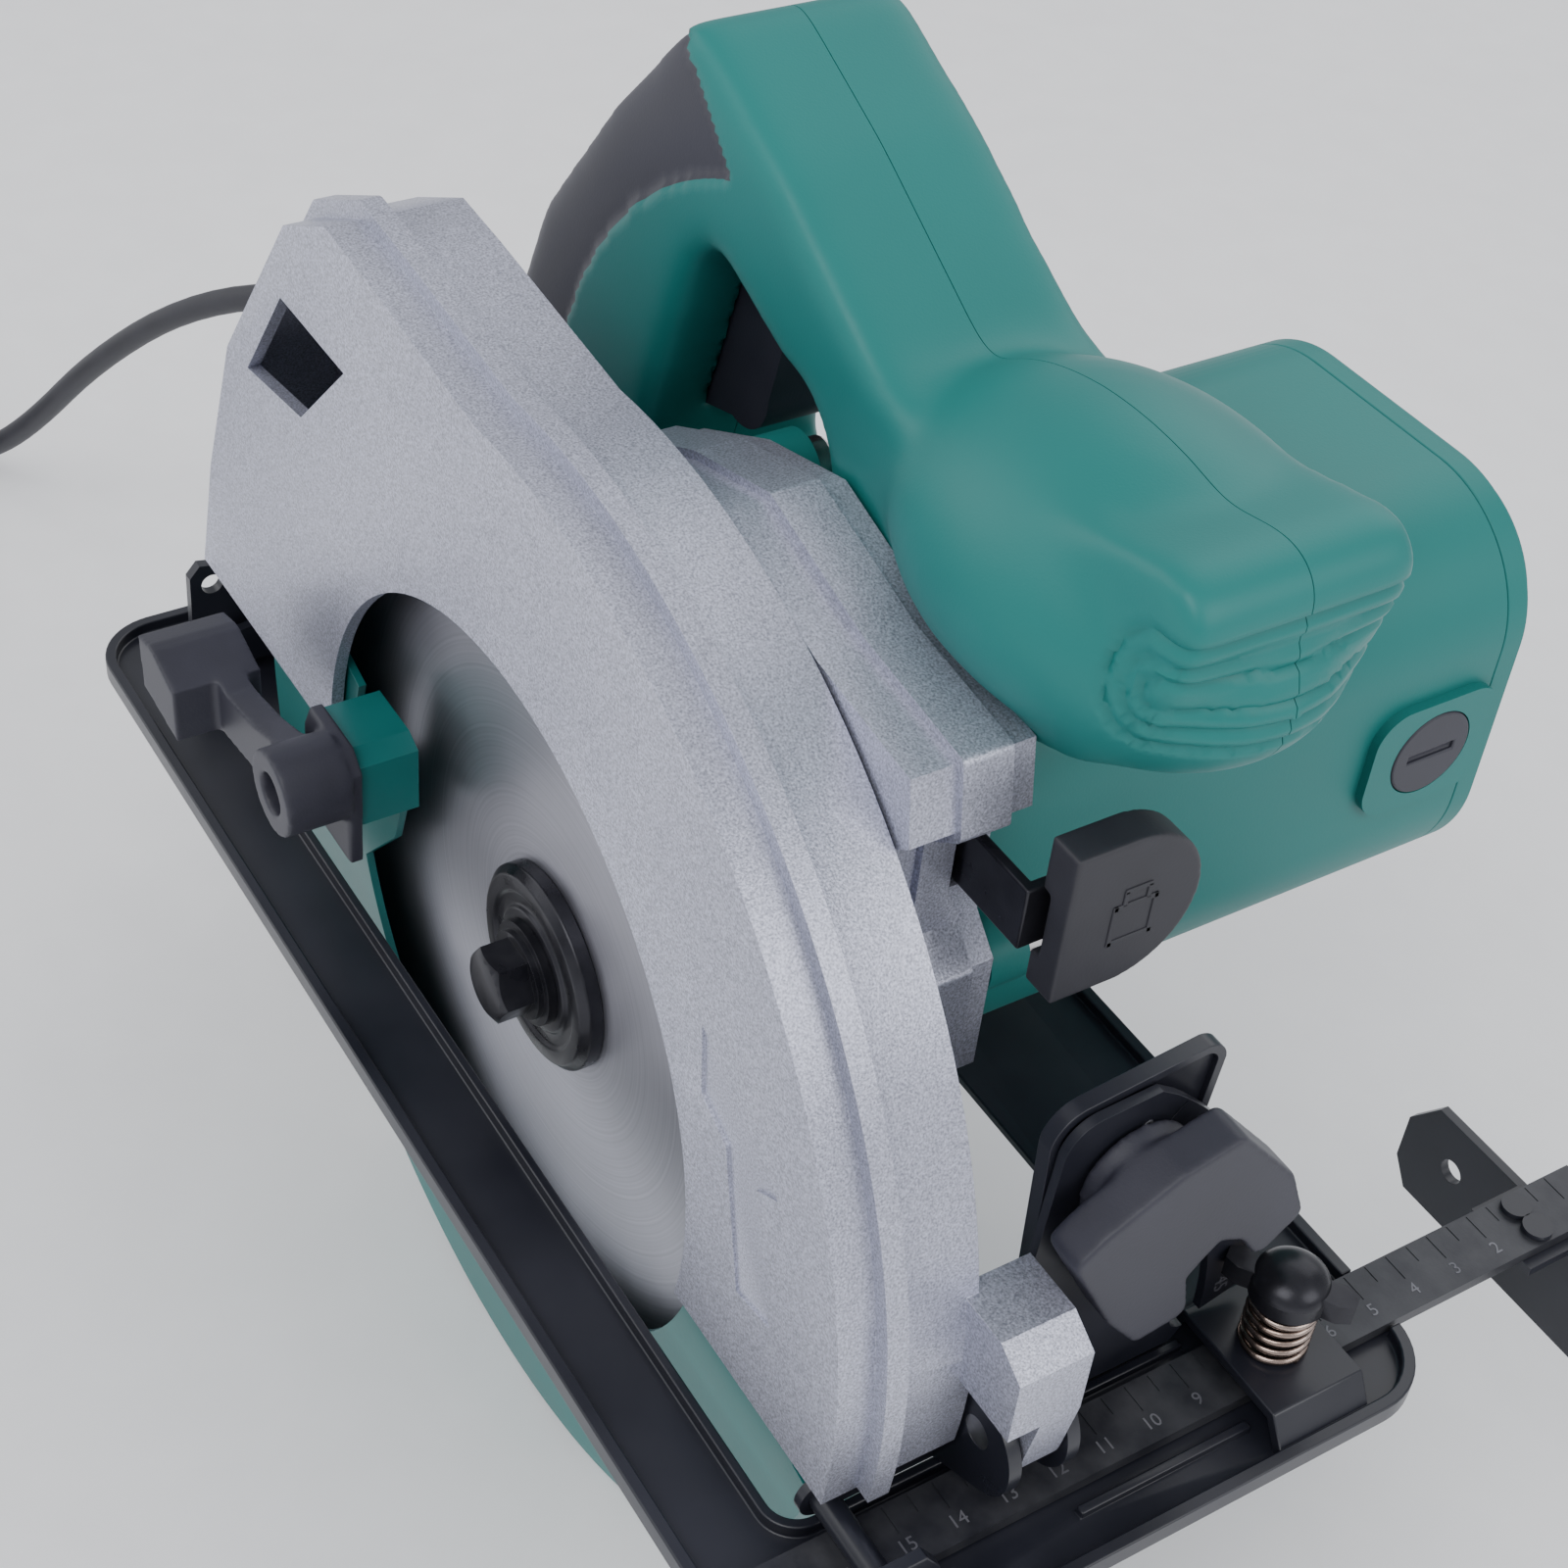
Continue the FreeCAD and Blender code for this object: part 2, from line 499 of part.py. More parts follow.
def gears():
    arbor = (0.0, size("arbor_height"))
    motor = (size("motor_x"), arbor[1] + size("motor_rise"))
    line = math.degrees(math.atan2(size("motor_rise"), size("motor_x")))
    big, small = int(size("gear_teeth")), int(size("pinion_teeth"))
    wheel = slab(spun(tooth_ring(big, 0.6, 1.15, 0.14), line, arbor), "xz", 17, 8, "wheel")
    web = [ring((0, y, "{arbor_height}"), 21, 12, 2.2) for y in (16.9, 22.9)]
    save("drive_gear", cut(wheel, *web, rod((0, 16, "{arbor_height}"), "{arbor_radius}", 10)))
    half_pitch = 180 / small
    pinion = slab(spun(tooth_ring(small, 0.95, 0.95, 0.14), line + 180 + half_pitch, motor),
                  "xz", 17, 8, "pinion")
    shaft = [rod((MX, 25, MZ), 7, 3), rod((MX, 27.9, MZ), 5, 130)]
    save("armature_shaft", fuse(pinion, *shaft))
    spindle = fuse(rod((0, -4.7, "{arbor_height}"), "{arbor_radius}", 38.0))
    save("arbor_spindle", cut(spindle, rod((0, -6, "{arbor_height}"), 4, 20)))
    save("arbor_bearings", together(ring((0, 6.7, "{arbor_height}"), 14, 7.55, 6.9),
                                    ring((0, 26.2, "{arbor_height}"), 11, 7.55, 7)))
    retainer = fuse(rod((0, 5.7, "{arbor_height}"), 20.95, 5.5), rod((0, 11, "{arbor_height}"), 30, 2.9))
    holes = [rod((x, 10, z), 1.6, 5) for x, z in retainer_places()]
    save("bearing_retainer", cut(retainer, rod((0, 5, "{arbor_height}"), 8.6, 10),
                                 rod((0, 6.7, "{arbor_height}"), 14, 8), *holes))


def retainer_places():
    return [polar(27, angle, (0.0, size("arbor_height"))) for angle in (45, 135, 225, 315)]


# ---------------------------------------------------------------- motor
def motor_outline(grow=0.0):
    x, z = size("motor_x"), size("arbor_height") + size("motor_rise")
    r = size("motor_radius") + grow
    return rounded(x - r, z - r, x + r, z + r, 26 + grow)


def motor():
    barrel = slab(motor_outline(), "xz", 36.4, 123.4, "barrel")
    ears = []
    for (x, z), toward in zip(clamp_places(), ((40, 79), (8, 100), (-10, 72), (22, 50))):
        dx, dz = toward[0] - x, toward[1] - z
        far = math.hypot(dx, dz)
        nx, nz = -dz / far * 7, dx / far * 7
        ears.append(fuse(rod((x, 36.4, z), 7, 7.6),
                         slab([(x + nx, z + nz), (x - nx, z - nz), (toward[0] - nx, toward[1] - nz),
                               (toward[0] + nx, toward[1] + nz)], "xz", 36.4, 7.6, "ear_web")))
    room = rod((MX, 30, MZ), "{motor_radius} - {motor_wall}", 140)
    screw_holes = [rod((x, 30, z), 2.55, 16) for x, z in clamp_places()]
    heads = [rod((x, 44.05, z), 5.2, 6.5) for x, z in clamp_places()]
    brush_hole = rod((-60, 146.7, MZ), 9.3, 150, "x")
    boss = [slab(rounded(132, 60.9, 161.4, 85, 7), "yz", x, 2.2, "boss") for x in (58.2, -30.4)]
    boss = [cut(b, box((-60, 159.8, 50), (150, 10, 50))) for b in boss]
    save("motor_housing", cut(fuse(barrel, *ears, *boss), room, *screw_holes, *heads, brush_hole))
    cap = fuse(slab(motor_outline(), "xz", 160.1, 4.9, "cap"),
               slab(motor_outline(-3), "xz", 164.8, 3.2, "cap_top"))
    seat = rod((MX, 155.5, MZ), 14.5, 6)
    vents = [cut(box((x, 161.5, 50), (3.2, 8, 46)), rod((MX, 161, MZ), 16, 9))
             for x in (-14, -6, 2, 26, 34, 42)]
    save("end_cap", cut(fuse(cap, seat), rod((MX, 155, MZ), 11, 7.6), *vents))
    save("clamp_screws", together(*[fuse(rod((x, 44.1, z), 4.6, 4.4), rod((x, 26, z), 2.5, 18.3))
                                    for x, z in clamp_places()]))
    save("stator", cut(rod((MX, 64, MZ), 39.6, 50), rod((MX, 63, MZ), 21, 52),
                       box((-19, 63, f"{MZ} - 15"), (14, 52, 30)),
                       box((35, 63, f"{MZ} - 15"), (14, 52, 30))))
    coils = []
    for side in (-1, 1):
        z = f"{{arbor_height}} + {{motor_rise}} + {side * 24} - 5"
        coils.append(box((-3, 56.5, z), (36, 7.2, 10)))
        coils.append(box((-3, 114.3, z), (36, 8, 10)))
    save("field_coils", together(*coils))
    save("armature_core", ring((MX, 66, MZ), 20.2, 5, 46))
    winding = [ring((MX, y, MZ), 17.5, 5, 9) for y in (56.5, 112.2)]
    save("armature_windings", together(*winding))
    save("commutator", ring((MX, 137, MZ), 13, 5, 18))
    axle = (size("motor_x"), size("arbor_height") + size("motor_rise"))
    blades = [slab(spun([(8, -1), (36.5, 0.4), (36.5, 1.8), (8, 1)], 40 * n, axle), "xz", 45.2, 9, "vane")
              for n in range(9)]
    disc = rod((MX, 43.8, MZ), 36.8, 1.8)
    save("fan", cut(fuse(disc, *blades, rod((MX, 43.8, MZ), 9, 10.4)), rod((MX, 42, MZ), 5, 14)))
    save("armature_bearings", together(ring((MX, 28.1, MZ), 14, 5.05, 7.6),
                                       ring((MX, 155.8, MZ), 11, 5.05, 5.6)))


def brushes():
    """Front and rear brush: slotted cap, brass holder and carbon block, all on one line across the motor."""
    caps, holders, blocks = [], [], []
    for cap_at, slot_at, holder_at, block_at in ((58.0, 59.7, 31.5, 28.4), (-32.6, -32.7, -30.0, -16.4)):
        cap = rod((cap_at, 146.7, MZ), 9.1, 2.6, "x")
        caps.append(cut(cap, box((slot_at, 141.2, f"{MZ} - 0.9"), (1.0, 11, 1.8))))
        channel = box((holder_at - 1, 142.9, f"{MZ} - 3.1"), (29, 7.6, 6.2))
        holders.append(cut(rod((holder_at, 146.7, MZ), 6.4, 26.3, "x"), channel))
        blocks.append(box((block_at, 143, f"{MZ} - 3"), (18, 7.4, 6)))
    save("brush_caps", together(*caps))
    save("brush_holders", together(*holders))
    save("carbon_brushes", together(*blocks))


# ---------------------------------------------------------------- handle
def handle():
    side = [(-106, 50), (-107.5, 72), (-98, 104), (-85, 135), (-62, 165), (-50, 178), (-40, 188.6),
            arc(7, 130, 65, (-35.5, 183.4)), (-9, 179), (22.5, 161), (37, 157), (48, 161), (70, 165.5),
            (91, 170.5), arc(7, 90, 0, (95, 163.2)), (97, 146), (84, 129), (62, 121), (52, 110), (52, 84),
            (-24, 70),
            (-45, 72), (-75, 58), (-90, 46.5), arc(8, -110, -180, (-98, 51))]
    loop = [(-24, 157), (-2, 148), arc(6, 60, 0, (8, 136)), (18, 122), (5, 110), (-20, 101), (-38, 95),
            arc(5, 250, 170, (-40, 100)), (-36, 130), (-30, 150)]
    body = slab(side, "xz", "{handle_mid} - {handle_half}", "2 * {handle_half}", "handle")
    knob = ball((62, "{handle_mid}", 146), (42, 31, 25))
    whole = cut(fuse(body, knob), slab(loop, "xz", 20, 80, "loop"),
                slab(motor_outline(0.4), "xz", 20, 90, "saddle"),
                *[rod((x, 30, z), 8.4, 24) for x, z in clamp_places()],
                box((-46, 30, 50), (26, 15, 27)),
                slab(housing_outline(), "xz", 10, 26.5, "housing_gap", grow=2.2))
    hollow = cut(slab(side, "xz", 40.2, 35.6, "handle_room", grow=-3.2),
                 slab(loop, "xz", 30, 60, "loop_wall", grow=3.2),
                 slab(motor_outline(3.2), "xz", 30, 60, "saddle_wall"))
    trigger_gap = slab(trigger_outline(), "xz", 49.6, 16.8, "trigger_gap", grow=0.5)
    screws = handle_screw_places()
    cord_hole = rod((-116, "{handle_mid}", 60), 5.0, 26, "x")
    button_gap = rod((-36, 72, 164), 4.3, 10)
    posts = [rod((x, 40, z), 4.4, 36) for x, z in screws]
    filled = fuse(cut(whole, hollow), *posts)
    shells = cut(filled, trigger_gap, cord_hole, button_gap, *[rod((x, 41, z), 1.8, 36) for x, z in screws],
                 *[rod((x, 75.9, z), 4.2, 6) for x, z in screws])
    near = box((-140, 20, 0), (300, "{handle_mid} - 20", 260))
    far = box((-140, "{handle_mid} + 0.02", 0), (300, 60, 260))
    save("handle_right_shell", common(shells, near))
    save("handle_left_shell", common(shells, far))
    save("handle_screws", together(*[fuse(rod((x, 76, z), 3.6, 2.4), rod((x, 42, z), 1.8, 34.2))
                                     for x, z in screws]))


def handle_screw_places():
    return [(-86, 82), (-66, 69), (-48, 168), (6, 162), (78, 150), (40, 137)]


def trigger_outline():
    return [(-46, 112), (-33, 116), arc(5, -60, 10, (-27, 124)), (-19, 138), (-22, 150), (-44, 150)]


def switch():
    flange = box((-46, 51.5, 114), (4.6, 13, 35))
    save("trigger", fuse(slab(trigger_outline(), "xz", 50, 16, "trigger"), flange))
    save("switch_body", box((-72, 49, 112), (19.5, 18, 34)))
    save("lock_off_button", fuse(rod((-36, 73, 164), 4.0, 8.2), rod((-36, 70.6, 164), 5.4, 2.6)))


# ---------------------------------------------------------------- blade and lower guard
def blade():
    centre = (0.0, size("arbor_height"))
    radius, teeth = size("blade_radius"), 24
    points = []
    for tooth in range(teeth):
        start = 360 / teeth * tooth
        points += [polar(radius, start, centre), polar(radius - 1.6, start + 3.2, centre),
                   polar(radius - 5.5, start + 8.5, centre), polar(radius - 9, start + 12.4, centre),
                   polar(radius - 8.4, start + 14.2, centre)]
    disc = slab(points, "xz", "-{blade_thick} / 2", "{blade_thick}", "blade")
    slots = [cut(slab([polar(76, a, centre), polar(92, a + 4, centre), polar(92, a + 5.0, centre),
                       polar(76, a + 1.3, centre)], "xz", -2, 4, "slot"), rod((0, -3, 31), 70, 6))
             for a in (20, 110, 200, 290)]
    save("saw_blade", cut(disc, *slots, rod((0, -3, "{arbor_height}"), "{arbor_radius}", 6)))
    save("inner_flange", ring((0, 0.9, "{arbor_height}"), "{flange_radius}", "{arbor_radius}", 4.1))
    outer = turned([(7.5, -0.9), (20, -0.9), (20, -3.6), (18.4, -5.1), (15.5, -5.1), (14.8, -4.4),
                    (12.6, -4.4), (12, -5.1), (7.5, -5.1)], (0, 0, "{arbor_height}"), "y", "outer_flange")
    save("outer_flange", outer)
    head = fuse(rod((0, -6.9, "{arbor_height}"), 10.2, 1.75), rod((0, -8.1, "{arbor_height}"), 8.6, 1.3),
                common(hex_prism((0, -14.6, "{arbor_height}"), 13, 6.6),
                       turned([(0, -14.6), (5.9, -14.6), (8.2, -13.2), (8.2, -7), (0, -7)],
                              (0, 0, "{arbor_height}"), "y", "head_turned")))
    save("blade_bolt", fuse(head, rod((0, -7, "{arbor_height}"), 3.95, 19)))


def lower_guard():
    """Sheet guard that swings up into the upper guard, with its mounting block."""
    centre = (0.0, size("arbor_height"))
    face, back, wall = size("lower_face"), size("lower_back"), size("lower_wall")
    outer, inner = size("lower_radius"), 68
    front, rear = -12, -197

    def sector(out, near, a, b):
        return [polar(near, a, centre), polar(out, a, centre), arc(out, a, b, centre), polar(near, b, centre),
                arc(near, b, a, centre)]
    block = slab(sector(outer, inner, front, rear), "xz", face, back - face, "lower_block")
    hollow = slab(sector(outer - wall, inner - 8, front + 9, rear - 9), "xz", face + wall,
                  back - face - 2 * wall, "lower_hollow")
    plate = slab(sector(outer - 0.5, 25, front, rear), "xz", back - wall, wall, "back_plate")
    hub = ring((0, 6.0, "{arbor_height}"), 26.5, 21.0, 2.4)
    tip = slab([polar(90, -12, centre), polar(90, -8, centre), polar(101, -7, centre),
                polar(103, -12, centre)], "xz", face, wall, "front_tip")
    base = slab([(-60, 38), (-42, 38), (-42, 52), (-46, 54), (-59, 54)], "xz", -19.2, 11.8, "mount_block")
    arm = slab([(-58, 52), (-44, 44), (-50, 24), (-64, 8), (-84, 2), (-84, 14), (-72, 24), (-60, 38)],
               "xz", face, wall, "strut")
    screw = rod((-47, -20, 48), 1.95, 10)
    spring_hole = rod((22.5, 5, 31), 1.1, 6)
    save("lower_guard", cut(fuse(cut(block, hollow), plate, hub, tip, base, arm), screw, spring_hole))
    lever_pad = slab([(-60.5, 30), (-41, 30), (-40, 52), (-44, 56), (-58, 56), (-61, 50)],
                     "xz", -22.4, 3.0, "pad")
    hub_outer = rod((-47, -35, 48), 8.6, 13)
    grip = slab([(-53, 54), (-48, 41), (-66, 38), (-84, 35), (-97, 37), (-99, 47), (-93, 50), (-78, 47),
                 (-64, 50)], "xz", -31, 6, "grip_arm")
    tab = slab([(-82, 35.5), (-99, 37), (-100, 49), (-93, 51), (-82, 47.5)], "xz", -40, 18, "finger_tab")
    grooves = [rod((x, -41, 51.6), 1.1, 20) for x in (-86, -89.5, -93, -96.5)]
    save("return_lever", cut(fuse(lever_pad, hub_outer, grip, tab), rod((-47, -36, 48), 4.2, 12.6), *grooves,
                             rod((-47, -26, 48), 2.05, 8)))
    save("lever_screw", fuse(rod((-47, -24.8, 48), 1.95, 14), rod((-47, -24.8, 48), 3.6, 1.4)))
    wire = [ring((0, y, "{arbor_height}"), 23.2, 22.0, 0.8) for y in (8.75, 9.75)]
    save("guard_spring", together(*wire))


# ---------------------------------------------------------------- spindle lock and bevel knob
def spindle_lock():
    plate = box((64, 29.2, 99.6), (24, 2.0, 12.0))
    arm = box((86, 29.2, 99.6), (2.0, 12, 12.0))
    hook = box((57, 29.2, 102), (8, 2, 6))
    save("lock_plate", fuse(plate, arm, hook))
    shape = [(31.5, 93), (43, 93), arc(14.6, -90, 90, (42.5, 107.6)), (31.5, 122.2)]
    pad = slab(shape, "yz", 88.3, 6.6, "lock_pad")
    save("lock_cap", cut(pad, box((88, 31, 99.3), (2.2, 10.3, 12.6))))


def bevel_knob():
    boss = cone(("{post_x} + 5.6", "{stud_y}", "{stud_z}"), 10.6, 9.6, 5, "x")
    wing = slab([(26.5, 62.5), (36, 44.5), (42, 36.8), (48.5, 38), (46.4, 47), (53.8, 55.2), (61.2, 51.3),
                 (64.8, 46), (69.4, 50.2), (65.3, 60), (52.4, 75.2), (43, 72.7), (30, 65.5)], "yz",
                "{post_x} + 9.6", 8, "wing", grow=2.4)
    save("bevel_knob", cut(fuse(boss, wing), rod(("{post_x} + 5", "{stud_y}", "{stud_z}"), 3.05, 9.4, "x")))


# ---------------------------------------------------------------- mains lead
FLOOR = size("arbor_height") - size("lower_radius")
COIL_CENTRE = (-372.0, -52.0)
COIL_RADIUS = 34.0


def cord_route():
    rest = FLOOR + size("cord_radius")
    return [(-101, 58, 60), (-134, 57, 60), (-170, 51, 58), (-208, 38, 48), (-244, 25, 27), (-280, 13, -6),
            (-312, 4, -42), (-333, -3.5, -62), (-352, -10.5, -72.4), (-372, -17.8, rest)]


def tube(points, radius, label):
    """Round tube along straight runs joined by tangent arcs; returns it and prints its radii."""
    v = [FreeCAD.Vector(x, y + size("blade_plane"), z) for x, y, z in points]
    edges, here, length = [], v[0], 0.0
    for before, corner, after in zip(v, v[1:], v[2:]):
        way_in, way_out = (corner - before), (after - corner)
        trim = 0.45 * min(way_in.Length, way_out.Length)
        turn = way_in.getAngle(way_out)
        a = corner - way_in.normalize() * trim
        b = corner + way_out.normalize() * trim
        arc_radius = trim / math.tan(turn / 2)
        toward = ((a + b) * 0.5 - corner).normalize()
        middle = corner + toward * (math.hypot(arc_radius, trim) - arc_radius)
        edges += [Part.LineSegment(here, a).toShape(), Part.Arc(a, middle, b).toShape()]
        print(f"{label}: radius {arc_radius:.1f} mm at a turn of {math.degrees(turn):.0f} degrees")
        here = b
    edges.append(Part.LineSegment(here, v[-1]).toShape())
    path = fresh("Part::Feature", label + "_path")
    path.Shape = Part.Wire(edges)
    section = fresh("Part::Circle", label + "_section")
    bind(section, "Radius", radius)
    heading = FreeCAD.Rotation(FreeCAD.Vector(0, 0, 1), v[1] - v[0])
    section.Placement = FreeCAD.Placement(v[0], heading)
    swept = fresh("Part::Sweep", label)
    swept.Sections, swept.Spine, swept.Solid, swept.Frenet = [section], (path, []), True, False
    doc.recompute()
    length = path.Shape.Length
    expected = math.pi * size("cord_radius") ** 2 * length
    print(f"{label}: length {length:.0f} mm, volume {swept.Shape.Volume / expected:.4f} of section x length")
    return swept


def mains_lead():
    sleeve = turned([(3.15, 0), (6.6, 0), (6.6, -3.6), (4.8, -3.6), (4.8, -8.0), (6.2, -8.0), (6.2, -10.5),
                     (5.2, -12), (4.1, -44), (3.15, -44)], (-99.5, "{handle_mid}", 60), "x", "sleeve")
    save("cord_sleeve", sleeve)
    save("mains_cord", tube(cord_route(), "{cord_radius}", "cord"))
    cx, cy = COIL_CENTRE
    half, height = 9.4, 12.5
    coil = ring((cx, cy, FLOOR), COIL_RADIUS + half, COIL_RADIUS - half, height, "z", "coil")
    save("cord_coil", coil)
    px, py, pz = cx - COIL_RADIUS - 3.2, cy - 16, FLOOR + 7.4
    relief = cone((px, py - 24, pz), 5.6, 3.9, 24)
    body = slab([(px - 6.4, pz - 7), (px + 6.4, pz - 7), arc(7, -90, 90, (px + 6.4, pz)),
                 (px - 6.4, pz + 7), arc(7, 90, 270, (px - 6.4, pz))], "xz", py - 58, 34.5, "plug_body")
    save("plug_body", cut(fuse(relief, body), *[rod((px + dx, py - 59, pz), 2.0, 12) for dx in (-9.3, 9.3)]))
    save("plug_pins", together(*[rod((px + dx, py - 77, pz), 2.0, 30) for dx in (-9.3, 9.3)]))


for build in (sole, bevel_post, tilt_supports, fence_clamp, fence, front_hinge, depth_guide, upper_guard,
              depth_clamp, gear_housing, gears, motor, brushes, handle, switch, blade, lower_guard,
              spindle_lock, bevel_knob, mains_lead):
    build()
doc.recompute()

failed = [obj.Label for obj in doc.Objects if "Invalid" in obj.State or "Error" in obj.State]
if failed:
    raise RuntimeError(f"did not compute: {failed}")
os.makedirs("parts", exist_ok=True)
for name, obj in NODES.items():
    if obj.Shape.isNull() or not obj.Shape.isValid() or not obj.Shape.Solids:
        raise RuntimeError(f"{name} has no valid solid")
    obj.Shape.exportStep(f"parts/{name}.step")
print(len(NODES), "nodes written")
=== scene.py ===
import math
import bmesh
import bpy
from mathutils import Matrix, Vector
from mathutils.bvhtree import BVHTree


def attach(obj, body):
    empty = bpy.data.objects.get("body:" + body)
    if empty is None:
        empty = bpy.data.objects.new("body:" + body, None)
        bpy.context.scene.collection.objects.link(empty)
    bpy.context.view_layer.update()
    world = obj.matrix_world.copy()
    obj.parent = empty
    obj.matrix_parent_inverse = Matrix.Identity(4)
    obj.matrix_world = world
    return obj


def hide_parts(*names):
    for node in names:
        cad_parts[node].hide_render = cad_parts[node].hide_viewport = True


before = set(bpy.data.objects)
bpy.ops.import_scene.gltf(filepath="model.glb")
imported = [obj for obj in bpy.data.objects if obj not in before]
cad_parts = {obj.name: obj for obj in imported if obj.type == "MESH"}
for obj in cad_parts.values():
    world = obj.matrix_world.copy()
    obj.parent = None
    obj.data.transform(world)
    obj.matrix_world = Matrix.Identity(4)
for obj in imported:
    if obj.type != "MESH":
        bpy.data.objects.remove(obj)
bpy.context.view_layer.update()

# ---------------------------------------------------------------- camera
# Looks down on the blade side from ahead of the saw, with a slight lean to the right.
# Lengths below are millimetres unless a comment says metres, and y is counted from the
# blade's middle plane.
MM = 0.001
BLADE_PLANE = 23.5
CAMERA_PLACE, CAMERA_TURNS = (292.6, -163.4, 370.2), (54.35, 41.09, 6.34)
LENS, SENSOR, NEAREST = 59.55, 36.0, 0.01


def at(x, y, z):
    """A place in metres in the row frame."""
    return Vector((x, y + BLADE_PLANE, z)) * MM


def placed(name, data):
    """A new object in the scene."""
    thing = bpy.data.objects.new(name, data)
    bpy.context.scene.collection.objects.link(thing)
    return thing


azimuth, elevation, lean = (math.radians(angle) for angle in CAMERA_TURNS)
camera_lens = bpy.data.cameras.new("camera")
camera_lens.lens, camera_lens.sensor_width, camera_lens.clip_start = LENS, SENSOR, NEAREST
camera = placed("camera", camera_lens)
camera.matrix_world = (Matrix.Translation(at(*CAMERA_PLACE)) @ Matrix.Rotation(azimuth, 4, "Z")
                       @ Matrix.Rotation(math.pi / 2 - elevation, 4, "X")
                       @ Matrix.Rotation(lean, 4, "Z"))
bpy.context.scene.camera = camera

# ---------------------------------------------------------------- mains lead
# Round rubber-sheathed lead: out of its sleeve, down to the surface the saw stands on and
# into a flat tied coil of two layers.  The plug lies beside the coil.  LEAD is its radius.
FLOOR = -77.5
LEAD = 3.1
COIL_X, COIL_Y, COIL_START, COIL_TURNS, STEPS = -372.0, -52.0, 90, 6.25, 24
TURN_REACHES = [40.2, 34.0, 27.8, 27.8, 34.0, 40.2, 40.2]
TURN_LAYERS = [0, 0, 0, 1, 1, 1, 1]
CHANGE_FROM, CHANGE_OVER = 0.8, 0.2


def along_turns(values, turns_done):
    """The value for this turn, changing smoothly to the next one over the turn's last fifth."""
    turn, part = divmod(turns_done, 1)
    now, later = values[int(turn)], values[min(int(turn) + 1, len(values) - 1)]
    change = max(0.0, (part - CHANGE_FROM) / CHANGE_OVER)
    return now + (later - now) * (change * change * (3 - 2 * change))


route = [(-101, 58, 60), (-134, 57, 60), (-170, 51, 58), (-208, 38, 48), (-244, 25, 27),
         (-280, 13, -6), (-312, 4, -42), (-333, -3.5, -62), (-352, -9.0, -72.4)]
for step in range(int(COIL_TURNS * STEPS) + 1):
    reach = along_turns(TURN_REACHES, step / STEPS)
    turn = math.radians(COIL_START + 360 * step / STEPS)
    route.append((COIL_X + reach * math.cos(turn), COIL_Y + reach * math.sin(turn),
                  FLOOR + LEAD + 2 * LEAD * along_turns(TURN_LAYERS, step / STEPS)))
route += [(-411.0, -60, -68.9), (-409.4, -69, -70.0), (-409.2, -78, -70.1)]


def round_line(name, places, radius, resolution):
    """A round bar along a smooth line.  The bevel is one metre and each point's radius scales
    it, because a curve's box is grown by the point radius."""
    line = bpy.data.curves.new(name, "CURVE")
    line.dimensions, line.bevel_depth, line.bevel_resolution = "3D", 1.0, resolution
    line.use_fill_caps = True
    spline = line.splines.new("NURBS")
    spline.points.add(len(places) - 1)
    for point, place in zip(spline.points, places):
        point.co = (*at(*place), 1.0)
        point.radius = radius * MM
    spline.order_u, spline.use_endpoint_u = 3, True
    return placed(name, line)


lead = round_line("mains_lead", route, LEAD, 5)
lead.data.resolution_u = 5
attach(lead, "saw_body")
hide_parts("mains_cord", "cord_coil")

# ---------------------------------------------------------------- coil strap
# A moulded strap that clasps the coil's turns, as one block with rounded edges.
# Its sides are across the turns, along them and upward.
STRAP_SIDES, STRAP_EDGE = (20.4, 7.0, 13.2), 1.2
STRAP_REACH, STRAP_LIFT, STRAP_TURN = 34, 6.6, math.radians(-35)


def piece_of(mesh, name, body):
    """A named piece of this mesh that rides on a body."""
    piece = placed(name, mesh)
    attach(piece, body)
    return piece


def piece_from(shape, name, body):
    """Turn a bmesh into a named piece that rides on a body."""
    mesh = bpy.data.meshes.new(name)
    shape.to_mesh(mesh)
    shape.free()
    return piece_of(mesh, name, body)


def block(shape, sides):
    """Add a block to a bmesh round the origin and return its corners; sides in millimetres."""
    corners = bmesh.ops.create_cube(shape, size=1.0)["verts"]
    bmesh.ops.scale(shape, vec=Vector(sides) * MM, verts=corners)
    return corners


def break_edges(shape, width, segments):
    """Round every edge of a bmesh."""
    bmesh.ops.bevel(shape, geom=shape.edges[:], offset=width * MM, segments=segments, profile=0.5,
                    affect="EDGES", material=-1)


strap = bmesh.new()
block(strap, STRAP_SIDES)
break_edges(strap, STRAP_EDGE, 3)
strap_place = at(COIL_X + STRAP_REACH * math.cos(STRAP_TURN), COIL_Y + STRAP_REACH * math.sin(STRAP_TURN),
                 FLOOR + STRAP_LIFT)
bmesh.ops.transform(strap, matrix=Matrix.Translation(strap_place) @ Matrix.Rotation(STRAP_TURN, 4, "Z"),
                    verts=strap.verts)
piece_from(strap, "coil_strap", "saw_body")

# ---------------------------------------------------------------- surface grain, used by most finishes
# One node group: fine grain as a bump, and a slow mottle that shades colour and roughness.
# Grain and mottle are features per metre, and depth is the height of the grain in metres.


def worked(tree, operation, second=None, kind="Math"):
    """A math or vector math node, with its second input set if one is given."""
    node = tree.nodes.new("ShaderNode" + kind)
    node.operation = operation
    if second is not None:
        node.inputs[1].default_value = second
    return node


def noise(tree, detail):
    """A noise texture node with this detail."""
    node = tree.nodes.new("ShaderNodeTexNoise")
    node.inputs["Detail"].default_value = detail
    return node


def join(tree, *pairs):
    """Link each output to its input."""
    for source, target in pairs:
        tree.links.new(source, target)


